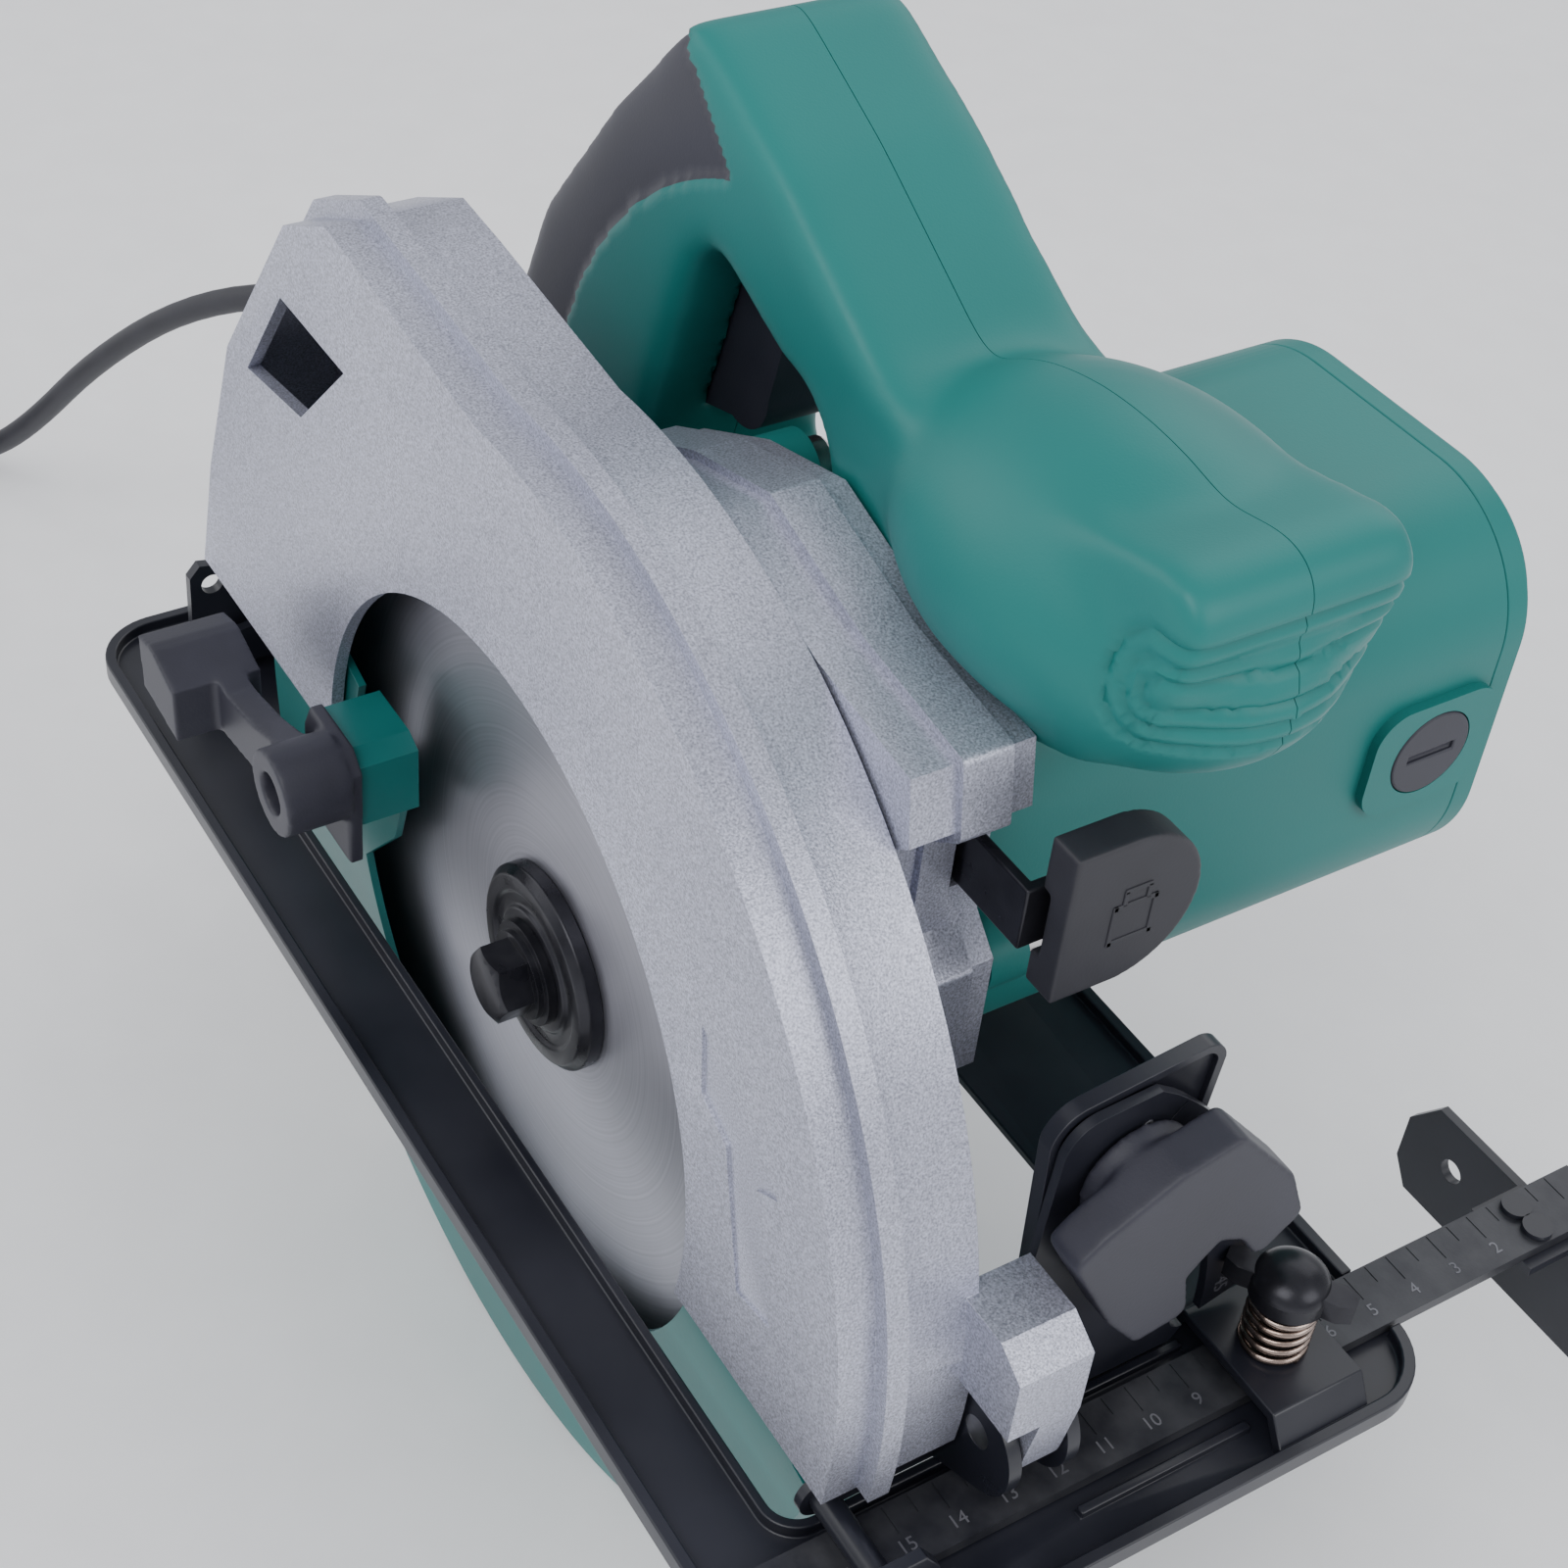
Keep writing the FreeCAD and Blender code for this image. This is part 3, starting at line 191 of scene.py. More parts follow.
grain = bpy.data.node_groups.new("surface_grain", "ShaderNodeTree")
for name, value in (("Grain", 1800.0), ("Depth", 0.00003), ("Mottle", 60.0), ("Roughness", 0.5),
                    ("Uneven", 0.1)):
    socket = grain.interface.new_socket(name, in_out="INPUT", socket_type="NodeSocketFloat")
    socket.default_value = value
# The fine grain is also put out on its own, for finishes that tint their colour by it as painted glints.
for name, kind in (("Shade", "NodeSocketFloat"), ("Glint speck", "NodeSocketFloat"),
                   ("Roughness", "NodeSocketFloat"), ("Normal", "NodeSocketVector")):
    grain.interface.new_socket(name, in_out="OUTPUT", socket_type=kind)
given, result = grain.nodes.new("NodeGroupInput"), grain.nodes.new("NodeGroupOutput")
place_on = grain.nodes.new("ShaderNodeTexCoord")
fine, slow = noise(grain, 2.0), noise(grain, 4.0)
bump = grain.nodes.new("ShaderNodeBump")
bump.inputs["Strength"].default_value = 1.0
centred, spread, added = worked(grain, "SUBTRACT", 0.5), worked(grain, "MULTIPLY"), worked(grain, "ADD")
join(grain,
     (place_on.outputs["Object"], fine.inputs["Vector"]),
     (place_on.outputs["Object"], slow.inputs["Vector"]),
     (given.outputs["Grain"], fine.inputs["Scale"]),
     (given.outputs["Mottle"], slow.inputs["Scale"]),
     (fine.outputs["Fac"], bump.inputs["Height"]),
     (given.outputs["Depth"], bump.inputs["Distance"]),
     (slow.outputs["Fac"], centred.inputs[0]),
     (centred.outputs[0], spread.inputs[0]),
     (given.outputs["Uneven"], spread.inputs[1]),
     (spread.outputs[0], added.inputs[0]),
     (given.outputs["Roughness"], added.inputs[1]),
     (slow.outputs["Fac"], result.inputs["Shade"]),
     (fine.outputs["Fac"], result.inputs["Glint speck"]),
     (added.outputs[0], result.inputs["Roughness"]),
     (bump.outputs["Normal"], result.inputs["Normal"]))


def set_range(node, socket, low, high):
    """Set one end pair of a map range node."""
    node.inputs[socket + " Min"].default_value, node.inputs[socket + " Max"].default_value = low, high


def finish(name, dark, light, metallic=0.0, roughness=0.5, uneven=0.15, grain_size=1800, depth=0.03,
           mottle=60, painted_sparkle=0.0):
    """A Principled material over the surface grain; depth is in millimetres, and the last argument is how
    far the fine grain itself tints the colour lighter and darker, as painted glints that sparkle."""
    material = bpy.data.materials.new(name)
    material.use_nodes = True
    tree = material.node_tree
    shader = tree.nodes["Principled BSDF"]
    shader.inputs["Metallic"].default_value = metallic
    surface = tree.nodes.new("ShaderNodeGroup")
    surface.node_tree = grain
    for socket, value in (("Grain", grain_size), ("Depth", depth * MM), ("Mottle", mottle),
                          ("Roughness", roughness), ("Uneven", uneven)):
        surface.inputs[socket].default_value = value
    tone, glint_tint = tree.nodes.new("ShaderNodeMapRange"), tree.nodes.new("ShaderNodeMapRange")
    set_range(tone, "From", 0.3, 0.7)
    set_range(glint_tint, "From", 0.3, 0.7)
    set_range(glint_tint, "To", 1 - painted_sparkle, 1 + painted_sparkle)
    colour, shaded = tree.nodes.new("ShaderNodeMix"), worked(tree, "SCALE", kind="VectorMath")
    colour.data_type = "RGBA"
    colour.inputs["A"].default_value, colour.inputs["B"].default_value = (*dark, 1), (*light, 1)
    join(tree,
         (surface.outputs["Shade"], tone.inputs["Value"]),
         (surface.outputs["Glint speck"], glint_tint.inputs["Value"]),
         (tone.outputs["Result"], colour.inputs["Factor"]),
         (colour.outputs["Result"], shaded.inputs[0]),
         (glint_tint.outputs["Result"], shaded.inputs["Scale"]),
         (shaded.outputs["Vector"], shader.inputs["Base Color"]),
         (surface.outputs["Roughness"], shader.inputs["Roughness"]),
         (surface.outputs["Normal"], shader.inputs["Normal"]))
    return material


def wear(piece, material):
    """Give a piece this material and no other."""
    piece.data.materials.clear()
    piece.data.materials.append(material)


black_rubber = finish("black_rubber", (0.016, 0.016, 0.022), (0.028, 0.028, 0.036), roughness=0.55,
                      depth=0.02)
for name in ("mains_lead", "coil_strap", "cord_sleeve", "plug_body"):
    wear(bpy.data.objects[name], black_rubber)
plug_brass = finish("plug_brass", (0.62, 0.45, 0.2), (0.74, 0.56, 0.27), metallic=1, roughness=0.28,
                    uneven=0.2)
for name in ("plug_pins", "brush_holders"):
    wear(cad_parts[name], plug_brass)

# ---------------------------------------------------------------- sole, bracket and fence
# Pressed steel sheet in black stoving enamel, worn on the bar that slides through the sole.
# Each sheet part is a merged copy of its CAD node with its sharp edges rounded.
WELD, FLAT_WITHIN, ROUNDED_ABOVE = 0.002 * MM, math.radians(1.0), math.radians(32)


def merged(*nodes):
    """CAD nodes as one bmesh, with the corners that coincide merged."""
    shape = bmesh.new()
    for node in nodes:
        shape.from_mesh(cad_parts[node].data)
    bmesh.ops.remove_doubles(shape, verts=shape.verts, dist=WELD)
    return shape


def shade_smooth(piece, sharp_above=None):
    """Shade a piece smooth, but keep edges sharper than an angle in radians."""
    for face in piece.data.polygons:
        face.use_smooth = True
    if sharp_above is not None:
        piece.data.set_sharp_from_angle(angle=sharp_above)


def softened(node, body, width, segments=3):
    """A merged copy of a CAD node with its sharp edges rounded, standing for the node."""
    shape = merged(node)
    bmesh.ops.dissolve_limit(shape, angle_limit=FLAT_WITHIN, verts=shape.verts, edges=shape.edges)
    piece = piece_from(shape, node + "_piece", body)
    rounding = piece.modifiers.new("rounding", "BEVEL")
    rounding.width, rounding.segments, rounding.limit_method = width * MM, segments, "ANGLE"
    rounding.angle_limit = ROUNDED_ABOVE
    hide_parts(node)
    shade_smooth(piece, ROUNDED_ABOVE)
    return piece


enamel = finish("black_enamel", (0.010, 0.011, 0.017), (0.020, 0.021, 0.030), roughness=0.33, uneven=0.25,
                grain_size=900, depth=0.012, mottle=35)
for node, body, width in (("sole_plate", "base", 0.7), ("bevel_post", "base", 0.5),
                          ("front_tab", "base", 0.4), ("rear_tab", "base", 0.4),
                          ("front_hinge", "tilt_frame", 0.4), ("depth_guide", "tilt_frame", 0.4),
                          ("fence_guide", "fence_group", 0.4)):
    wear(softened(node, body, width), enamel)
for node in ("post_rivets", "fence_rivets", "bevel_pins"):
    wear(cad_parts[node], enamel)
worn_enamel = finish("worn_enamel", (0.018, 0.019, 0.026), (0.055, 0.056, 0.064), metallic=0.3,
                     roughness=0.4, uneven=0.3, grain_size=1400, depth=0.02, mottle=140)
wear(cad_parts["fence_bar"], worn_enamel)

# ---------------------------------------------------------------- stamped numbers
# Centimetres on top of the fence bar, and degrees on the outer face of the bevel quadrant.
# The figures are thin raised meshes, paler than the enamel they stand on.
LETTER_RELIEF = 0.06
BAR_TOP, BAR_MIDDLE, BAR_FIRST, LAST_NUMBER, NUMBER_HEIGHT = 5.02, 120.0, -8.5, 16, 3.6
TILT_Y, TILT_Z, QUADRANT_FACE, QUADRANT_REACH, DEGREE_HEIGHT = -8.0, 10.0, 108.25, 81.3, 4.2
QUARTER_TURN = Matrix.Rotation(math.pi / 2, 4, "Z")
stamped = finish("stamped_marks", (0.11, 0.11, 0.13), (0.2, 0.2, 0.22), metallic=0.3, roughness=0.5)


def mesh_of(carrier):
    """The evaluated shape of an object as a mesh; the object itself goes."""
    bpy.context.view_layer.update()
    mesh = bpy.data.meshes.new_from_object(carrier.evaluated_get(bpy.context.evaluated_depsgraph_get()))
    bpy.data.objects.remove(carrier)
    return mesh


def stamp(words, name, height, body, place):
    """Raised figures as a mesh, laid on a surface by place."""
    letters = bpy.data.curves.new(name, "FONT")
    letters.body, letters.size, letters.extrude = words, height * MM, LETTER_RELIEF * MM
    letters.align_x, letters.align_y, letters.resolution_u = "CENTER", "CENTER", 3
    mesh = mesh_of(placed(name + "_letters", letters))
    mesh.transform(place)
    wear(piece_of(mesh, name, body), stamped)


for number in range(1, LAST_NUMBER + 1):
    place = at(BAR_MIDDLE, BAR_FIRST + 10 * (LAST_NUMBER - number), BAR_TOP)
    stamp(str(number), f"fence_number_{number}", NUMBER_HEIGHT, "fence_group",
          Matrix.Translation(place) @ QUARTER_TURN)
stand_up = QUARTER_TURN @ Matrix.Rotation(math.pi / 2, 4, "X")
for words, degrees in (("0", 50.0), ("15", 32.0), ("30", 17.0), ("45", 4.5)):
    turn = math.radians(degrees)
    place = at(QUADRANT_FACE, TILT_Y + QUADRANT_REACH * math.cos(turn),
               TILT_Z + QUADRANT_REACH * math.sin(turn))
    stamp(words, f"bevel_number_{words}", DEGREE_HEIGHT, "tilt_frame",
          Matrix.Translation(place) @ Matrix.Rotation(turn - math.pi / 2, 4, "X") @ stand_up)

# ---------------------------------------------------------------- zinc, screws and blackened steel
# Bright and plated steel parts: pins, stud, bearings and screws.
# The flanges, the blade bolt, the wing screw and the lock plate are blackened.
zinc = finish("zinc_plate", (0.42, 0.42, 0.44), (0.62, 0.62, 0.62), metallic=1, roughness=0.32, uneven=0.2,
              grain_size=1200, depth=0.01, mottle=200)
for node in ("bevel_stud", "depth_pivot_pin", "housing_screws", "depth_bolt", "bearing_retainer",
             "arbor_spindle", "lever_screw", "arbor_bearings", "armature_bearings", "drive_gear",
             "armature_shaft", "guard_spring"):
    wear(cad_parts[node], zinc)
screw_steel = finish("screw_steel", (0.5, 0.48, 0.48), (0.75, 0.73, 0.72), metallic=1, roughness=0.2,
                     grain_size=700, depth=0.01, mottle=300)
wear(softened("clamp_screws", "saw_body", 0.5, 2), screw_steel)
oiled_black = finish("oiled_black", (0.012, 0.012, 0.017), (0.03, 0.03, 0.037), metallic=0.55,
                     roughness=0.3, uneven=0.25, grain_size=1500, depth=0.012, mottle=150)
for node, body, width in (("outer_flange", "blade_group", 0.3), ("inner_flange", "blade_group", 0.3),
                          ("blade_bolt", "blade_group", 0.35), ("wing_screw", "wing_screw_group", 0.6),
                          ("lock_plate", "spindle_lock_group", 0.4)):
    wear(softened(node, body, width), oiled_black)

# ---------------------------------------------------------------- fence spring
# Wound wire round the wing screw's shank, between its boss on the sole and its head.
# The first and last three quarters of a turn lie flat, as ground ends do.
SPRING_X, SPRING_Y, SPRING_LOW, SPRING_HIGH = 118.5, 78.0, 10.4, 20.3
SPRING_REACH, WIRE, WINDINGS, POINTS_PER_TURN, FLAT_TURNS = 5.6, 0.75, 5.5, 16, 0.75
winding = []
for index in range(int(WINDINGS * POINTS_PER_TURN) + 1):
    turn = 2 * math.pi * index / POINTS_PER_TURN
    rise = (index / POINTS_PER_TURN - FLAT_TURNS) / (WINDINGS - 2 * FLAT_TURNS)
    winding.append((SPRING_X + SPRING_REACH * math.cos(turn), SPRING_Y + SPRING_REACH * math.sin(turn),
                    SPRING_LOW + (SPRING_HIGH - SPRING_LOW) * min(max(rise, 0), 1)))
fence_spring_wire = piece_of(mesh_of(round_line("fence_spring_curve", winding, WIRE, 3)),
                             "fence_spring_wire", "base")
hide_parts("fence_spring")
wear(fence_spring_wire, finish("spring_wire", (0.3, 0.22, 0.18), (0.5, 0.42, 0.38), metallic=1,
                               roughness=0.25))

# ---------------------------------------------------------------- guard and gear housing castings
# Die-cast light alloy under a silver lacquer that shows every grain of the skin.
# The fine grain also tints the lacquer lighter and darker in tiny specks, painted glints that make the
# surface sparkle; its bump roughens it as well.
silver = finish("silver_casting", (0.42, 0.43, 0.52), (0.49, 0.50, 0.59), metallic=0.7, roughness=0.40,
                uneven=0.12, grain_size=2600, depth=0.06, mottle=14, painted_sparkle=0.38)
wear(softened("upper_guard", "saw_body", 1.5), silver)
wear(softened("gear_housing", "saw_body", 1.6), silver)

# ---------------------------------------------------------------- blade
# Ground steel disc; the grinding runs in rings round the arbor, under slow uneven patches
# that also change how glossy the steel is.
ARBOR = at(0, 0, 31)
blade_steel = bpy.data.materials.new("blade_steel")
blade_steel.use_nodes = True
tree = blade_steel.node_tree
shader = tree.nodes["Principled BSDF"]
shader.inputs["Metallic"].default_value = 1.0
where = tree.nodes.new("ShaderNodeTexCoord")
from_arbor = worked(tree, "SUBTRACT", ARBOR, "VectorMath")
flat = worked(tree, "MULTIPLY", (1, 0, 1), "VectorMath")
reach = worked(tree, "LENGTH", kind="VectorMath")
rings, patches = noise(tree, 3), noise(tree, 5)
rings.noise_dimensions = "1D"
rings.inputs["Scale"].default_value, patches.inputs["Scale"].default_value = 1600, 26
ring_share, patch_share = worked(tree, "MULTIPLY_ADD", 0.55), worked(tree, "MULTIPLY", 0.45)
shade, gloss = tree.nodes.new("ShaderNodeMix"), tree.nodes.new("ShaderNodeMapRange")
shade.data_type = "RGBA"
shade.inputs["A"].default_value = (0.27, 0.27, 0.31, 1)
shade.inputs["B"].default_value = (0.56, 0.56, 0.62, 1)
set_range(gloss, "To", 0.34, 0.50)
ground = tree.nodes.new("ShaderNodeBump")
ground.inputs["Distance"].default_value = 0.02 * MM
join(tree,
     (where.outputs["Object"], from_arbor.inputs[0]),
     (from_arbor.outputs["Vector"], flat.inputs[0]),
     (flat.outputs["Vector"], reach.inputs[0]),
     (reach.outputs["Value"], rings.inputs["W"]),
     (where.outputs["Object"], patches.inputs["Vector"]),
     (patches.outputs["Fac"], patch_share.inputs[0]),
     (rings.outputs["Fac"], ring_share.inputs[0]),
     (patch_share.outputs[0], ring_share.inputs[2]),
     (ring_share.outputs[0], shade.inputs["Factor"]),
     (shade.outputs["Result"], shader.inputs["Base Color"]),
     (patches.outputs["Fac"], gloss.inputs["Value"]),
     (gloss.outputs["Result"], shader.inputs["Roughness"]),
     (rings.outputs["Fac"], ground.inputs["Height"]),
     (ground.outputs["Normal"], shader.inputs["Normal"]))
wear(softened("saw_blade", "blade_group", 0.12, 1), blade_steel)

# ---------------------------------------------------------------- carbide tips
# One brazed block on the leading corner of every tooth, a little wider than the disc.
# Its sides are along the radius, through the disc and round the rim.
TEETH, BLADE_REACH, TIP_SIDES, TIP_INSET, TIP_LEAD = 24, 105.0, (6.2, 2.6, 1.9), 3.0, 0.9
tips = bmesh.new()
for tooth in range(TEETH):
    tip = block(tips, TIP_SIDES)
    turn = -math.radians(360 / TEETH * tooth + TIP_LEAD)
    bmesh.ops.translate(tips, vec=Vector((BLADE_REACH - TIP_INSET, 0, 0)) * MM, verts=tip)
    bmesh.ops.transform(tips, matrix=Matrix.Translation(ARBOR) @ Matrix.Rotation(turn, 4, "Y"), verts=tip)
wear(piece_from(tips, "carbide_tips", "blade_group"),
     finish("carbide", (0.2, 0.2, 0.21), (0.32, 0.32, 0.33), metallic=0.9, roughness=0.3))

# ---------------------------------------------------------------- lower guard
# Pressed sheet in teal enamel, with the block that carries its lever.
# It is glossier and darker than the moulded teal of the motor and the handle.
teal_paint = finish("teal_paint", (0.0, 0.115, 0.108), (0.0, 0.145, 0.136), roughness=0.32, uneven=0.2,
                    grain_size=1000, depth=0.012, mottle=40)
wear(softened("lower_guard", "lower_guard_group", 0.5, 2), teal_paint)

# ---------------------------------------------------------------- black mouldings
# Return lever, bevel knob and lock cap are cast again as one skin and smoothed all over;
# the trigger, lock-off button, depth lever and brush caps only have their edges rounded.
black_plastic = finish("black_plastic", (0.020, 0.020, 0.031), (0.031, 0.031, 0.045), roughness=0.5,
                       uneven=0.12, grain_size=2200, depth=0.03)


def cast_again(shape, voxel):
    """A bmesh as one closed skin of even faces; voxel is their size in millimetres."""
    carrier = placed("cast", bpy.data.meshes.new("cast"))
    shape.to_mesh(carrier.data)
    shape.free()
    skin = carrier.modifiers.new("skin", "REMESH")
    skin.mode, skin.voxel_size = "VOXEL", voxel * MM
    shape = bmesh.new()
    shape.from_mesh(mesh_of(carrier))
    return shape


def relax(shape, vertices, passes):
    """Smooth these vertices of a bmesh, over and over."""
    for _ in range(passes):
        bmesh.ops.smooth_vert(shape, verts=vertices, factor=0.5,
                              use_axis_x=True, use_axis_y=True, use_axis_z=True)


def moulded(node, body, voxel, passes):
    """A CAD node cast again and smoothed, so that every edge is round."""
    shape = cast_again(merged(node), voxel)
    relax(shape, shape.verts, passes)
    piece = piece_from(shape, node + "_piece", body)
    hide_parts(node)
    shade_smooth(piece)
    return piece


wear(moulded("return_lever", "lower_guard_group", 0.5, 5), black_plastic)
wear(moulded("bevel_knob", "bevel_knob_group", 0.5, 6), black_plastic)
for node, body, width in (("trigger", "trigger_group", 1.6), ("lock_off_button", "lock_off_group", 0.7),
                          ("depth_lever", "depth_lever_group", 1.0), ("brush_caps", "saw_body", 0.5)):
    wear(softened(node, body, width), black_plastic)
for node in ("switch_body", "fan", "carbon_brushes"):
    wear(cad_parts[node], black_plastic)
wear(moulded("lock_cap", "spindle_lock_group", 0.4, 5), black_rubber)

# ---------------------------------------------------------------- lock mark
# A plain padlock mark stands on the front of the rubber cap: four bars for its case and three
# for its shackle, each given by its place across and up and by its width and height.
MARK_Y, MARK_Z, MARK_FACE, MARK_RELIEF, MARK_EDGE = 44.5, 105.5, 94.9, 0.5, 0.12
mark = bmesh.new()
for y, z, wide, tall in ((0, -3.6, 8.4, 1.0), (0, 3.6, 8.4, 1.0), (-3.8, 0, 1.0, 8.2), (3.8, 0, 1.0, 8.2),
                         (-2.2, 5.2, 0.9, 3.0), (2.2, 5.2, 0.9, 3.0), (0, 6.6, 5.2, 0.9)):
    bar = block(mark, (MARK_RELIEF, wide, tall))
    bmesh.ops.translate(mark, vec=at(MARK_FACE, MARK_Y + y, MARK_Z + z), verts=bar)
break_edges(mark, MARK_EDGE, 1)
wear(piece_from(mark, "lock_mark", "spindle_lock_group"), black_rubber)

# ---------------------------------------------------------------- motor
# Moulded glass-filled nylon housing and end cap in teal, the same skin as the handle has.
# Inside are copper windings and stacked iron.
TEAL_DARK, TEAL_LIGHT = (0.0, 0.150, 0.138), (0.0, 0.168, 0.154)
TEAL_SKIN = {"roughness": 0.48, "uneven": 0.12, "grain_size": 2400, "depth": 0.02, "mottle": 18}
teal = finish("teal_nylon", TEAL_DARK, TEAL_LIGHT, **TEAL_SKIN)
wear(softened("motor_housing", "saw_body", 1.6), teal)
wear(softened("end_cap", "saw_body", 1.4), teal)
copper = finish("wound_copper", (0.36, 0.13, 0.05), (0.62, 0.28, 0.12), metallic=1, roughness=0.34,
                grain_size=900, depth=0.2, mottle=260)
for node in ("field_coils", "armature_windings", "commutator"):
    wear(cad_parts[node], copper)
iron = finish("stacked_iron", (0.11, 0.11, 0.12), (0.24, 0.24, 0.25), metallic=1, roughness=0.45,
              grain_size=1500, mottle=160)
for node in ("stator", "armature_core"):
    wear(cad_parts[node], iron)

# ---------------------------------------------------------------- handle
# Two moulded teal half shells screwed together, rounded all over, with a soft dark grip
# moulded over the back of the rear grip and three fine grooves in the front bulb.
HANDLE_MIDDLE, PARTING_GAP = 58.0, 0.08
VOXEL, PASSES = ((1.35, 28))
whole = cast_again(merged("handle_right_shell", "handle_left_shell"), VOXEL)
whole.normal_update()

# Only the outside is smoothed: the corners from which a ray to the left or to the right
# leaves without a hit.  The ray's length is in metres.
OFF_SURFACE, RAY_LENGTH = 0.6 * MM, 0.2
walls = BVHTree.FromBMesh(whole)
outer = []
for vertex in whole.verts:
    start = vertex.co + vertex.normal * OFF_SURFACE
    if any(walls.ray_cast(start, Vector((0, side, 0)), RAY_LENGTH)[0] is None for side in (1, -1)):
        outer.append(vertex)
relax(whole, outer, PASSES)

# The soft grip lies outside a circle seen from the side, behind the hood's slanting edge and
# above the heel; it is sunk a little below the teal.  The grooves of the bulb are nested
# loops round one line.
GRIP_X, GRIP_Z, GRIP_REACH, GRIP_SINK, GRIP_HEEL = 15.0, 86.8, 91.5, 0.9, 62
HOOD_X, HOOD_Z, HOOD_SLOPE = -30.8, 182.1, (0.67, 0.74)
BULB_X, BULB_Z, BULB_REACH = 77.0, 151.5, 33.0
RING_HALF, RING_GAP, RING_DEPTH, RING_WIDE, RING_INSET, RING_STEEP = 27.0, 3.6, 0.9, 0.9, 0.8, 1.6
whole.normal_update()
for vertex in outer:
    x, y, z = vertex.co.x / MM, vertex.co.y / MM - BLADE_PLANE - HANDLE_MIDDLE, vertex.co.z / MM
    beyond = math.hypot(x - GRIP_X, z - GRIP_Z) - GRIP_REACH
    behind = -(x - HOOD_X) * HOOD_SLOPE[0] - (z - HOOD_Z) * HOOD_SLOPE[1]
    if beyond > 0 and behind > 0 and z > GRIP_HEEL:
        vertex.co -= vertex.normal * GRIP_SINK * MM
    if x > BULB_X:
        around = abs(math.atan2(y, x - BULB_X)) * BULB_REACH
        from_line = math.hypot(max(around - RING_HALF, 0), z - BULB_Z)
        for ring in (1, 2, 3):
            depth = 1 - abs(from_line - ring * RING_GAP + RING_INSET) / RING_WIDE
            if depth > 0:
                vertex.co -= vertex.normal * RING_DEPTH * min(depth * RING_STEEP, 1) * MM


def grip_mask(material):
    """Darken the grip: where a point is outside the circle, behind the hood and above the heel."""
    tree = material.node_tree
    shader = tree.nodes["Principled BSDF"]
    where, split = tree.nodes.new("ShaderNodeTexCoord"), tree.nodes.new("ShaderNodeSeparateXYZ")
    flat = worked(tree, "MULTIPLY", (1, 0, 1), "VectorMath")
    reach = worked(tree, "DISTANCE", (GRIP_X * MM, 0, GRIP_Z * MM), "VectorMath")
    hood = worked(tree, "DOT_PRODUCT", (HOOD_SLOPE[0], 0, HOOD_SLOPE[1]), "VectorMath")
    hood_line = (HOOD_X * HOOD_SLOPE[0] + HOOD_Z * HOOD_SLOPE[1]) * MM
    outside = worked(tree, "GREATER_THAN", GRIP_REACH * MM)
    behind = worked(tree, "LESS_THAN", hood_line)
    above = worked(tree, "GREATER_THAN", GRIP_HEEL * MM)
    both, every = worked(tree, "MULTIPLY"), worked(tree, "MULTIPLY")
    tone = tree.nodes.new("ShaderNodeMix")
    tone.data_type = "RGBA"
    tone.inputs["B"].default_value = (0.024, 0.024, 0.038, 1)
    join(tree,
         (where.outputs["Object"], split.inputs[0]),
         (where.outputs["Object"], flat.inputs[0]),
         (where.outputs["Object"], hood.inputs[0]),
         (flat.outputs["Vector"], reach.inputs[0]),
         (reach.outputs["Value"], outside.inputs[0]),
         (hood.outputs["Value"], behind.inputs[0]),
         (split.outputs["Z"], above.inputs[0]),
         (outside.outputs[0], both.inputs[0]),
         (behind.outputs[0], both.inputs[1]),
         (both.outputs[0], every.inputs[0]),
         (above.outputs[0], every.inputs[1]),
         (every.outputs[0], tone.inputs["Factor"]),
         (shader.inputs["Base Color"].links[0].from_socket, tone.inputs["A"]),
         (tone.outputs["Result"], shader.inputs["Base Color"]))


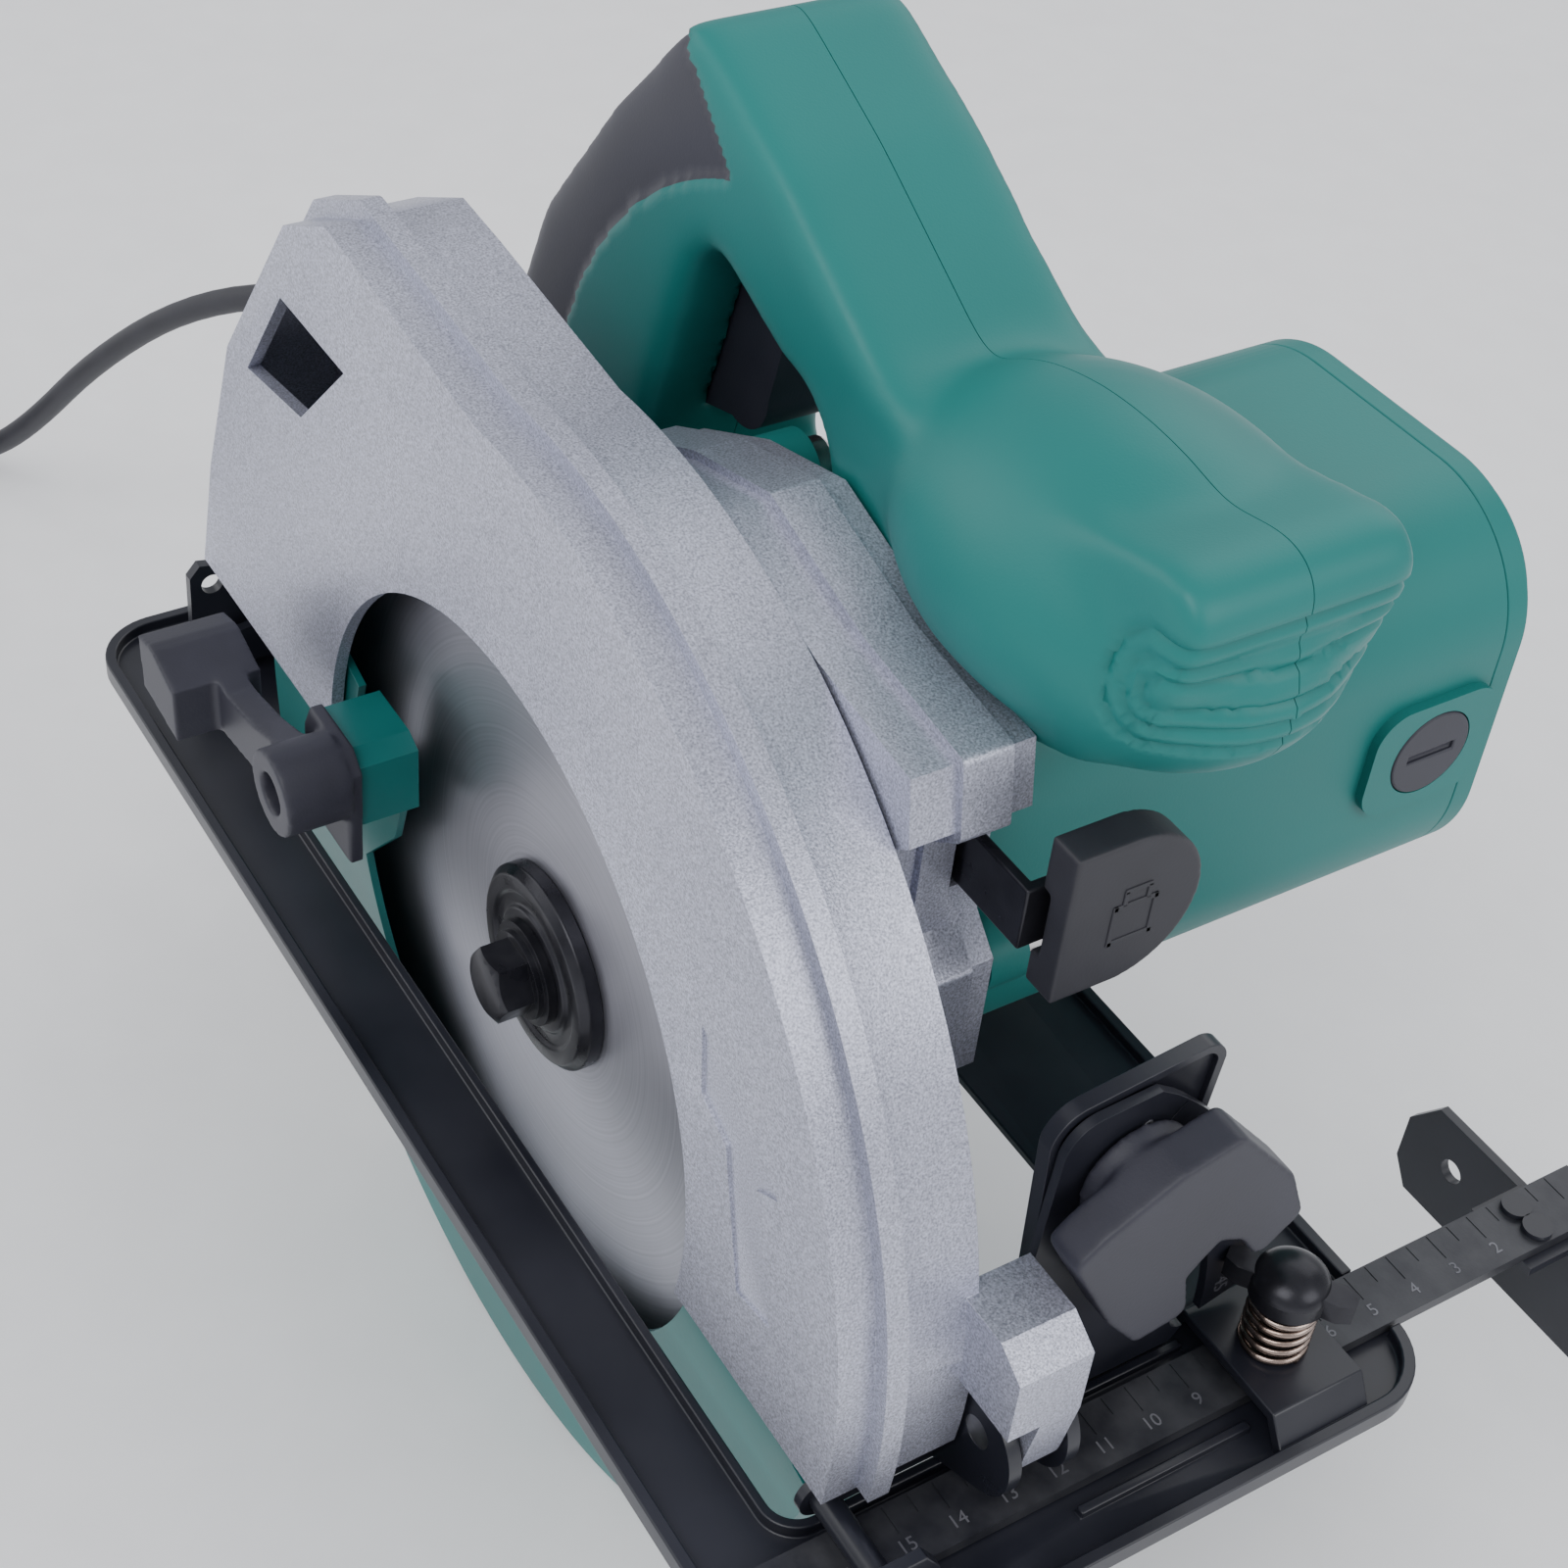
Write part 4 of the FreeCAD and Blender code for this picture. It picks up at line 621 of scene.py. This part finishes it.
# The whole is cut at the parting plane into its two shells, with a hairline between them.
SHELL_SHARP = math.radians(50)
teal_grip = finish("teal_and_grip", TEAL_DARK, TEAL_LIGHT, **TEAL_SKIN)
grip_mask(teal_grip)
for side, name in ((-1, "handle_right_shell"), (1, "handle_left_shell")):
    half = whole.copy()
    bmesh.ops.bisect_plane(half, geom=half.verts[:] + half.edges[:] + half.faces[:], dist=0.0001 * MM,
                           plane_co=at(0, HANDLE_MIDDLE + PARTING_GAP * side, 0), plane_no=(0, side, 0),
                           clear_inner=True)
    rim = [edge for edge in half.edges if edge.is_boundary]
    bmesh.ops.triangle_fill(half, use_beauty=True, edges=rim)
    bmesh.ops.recalc_face_normals(half, faces=half.faces)
    shell = piece_from(half, name + "_piece", "saw_body")
    shade_smooth(shell, SHELL_SHARP)
    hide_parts(name)
    wear(shell, teal_grip)
whole.free()
wear(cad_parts["handle_screws"],
     finish("handle_screws_black", (0.02, 0.02, 0.02), (0.05, 0.05, 0.055), metallic=0.8, roughness=0.35))

# ---------------------------------------------------------------- floor and light
# Pale floor just below the coil and the plug, under a pale sky.
# Two broad lights stand on the blade side and two on the motor side; their places and sizes,
# the floor's half width and the lit point are in metres.
FLOOR_DROP, FLOOR_HALF, SKY, SKY_STRENGTH = 0.3, 4.0, (0.93, 0.95, 1.0, 1), 0.75
LIT_POINT = Vector((0, 0.07, 0.05))
floor_shape = bmesh.new()
bmesh.ops.create_grid(floor_shape, x_segments=1, y_segments=1, size=FLOOR_HALF)
bmesh.ops.translate(floor_shape, vec=Vector((0, 0, (FLOOR - FLOOR_DROP) * MM)), verts=floor_shape.verts)
floor_mesh = bpy.data.meshes.new("floor")
floor_shape.to_mesh(floor_mesh)
floor_shape.free()
floor = placed("floor", floor_mesh)
wear(floor, finish("floor_white", (0.90, 0.90, 0.91), (0.93, 0.93, 0.94), roughness=0.8, depth=0.0,
                   grain_size=50))
world = bpy.data.worlds.new("studio")
world.use_nodes = True
world.node_tree.nodes["Background"].inputs["Color"].default_value = SKY
world.node_tree.nodes["Background"].inputs["Strength"].default_value = SKY_STRENGTH
bpy.context.scene.world = world
for name, place, size, power in (("key_light", (0.5, -0.9, 1.4), 1.0, 13.0),
                                 ("side_light", (-1.1, -0.9, 0.9), 1.2, 7.0),
                                 ("front_light", (1.3, 0.6, 0.9), 0.9, 8.0),
                                 ("back_light", (-0.5, 1.3, 1.1), 1.2, 6.0)):
    lamp = bpy.data.lights.new(name, "AREA")
    lamp.energy, lamp.size = power, size
    light = placed(name, lamp)
    light.location = place
    light.rotation_euler = (LIT_POINT - Vector(place)).to_track_quat("-Z", "Y").to_euler()

bpy.context.view_layer.update()
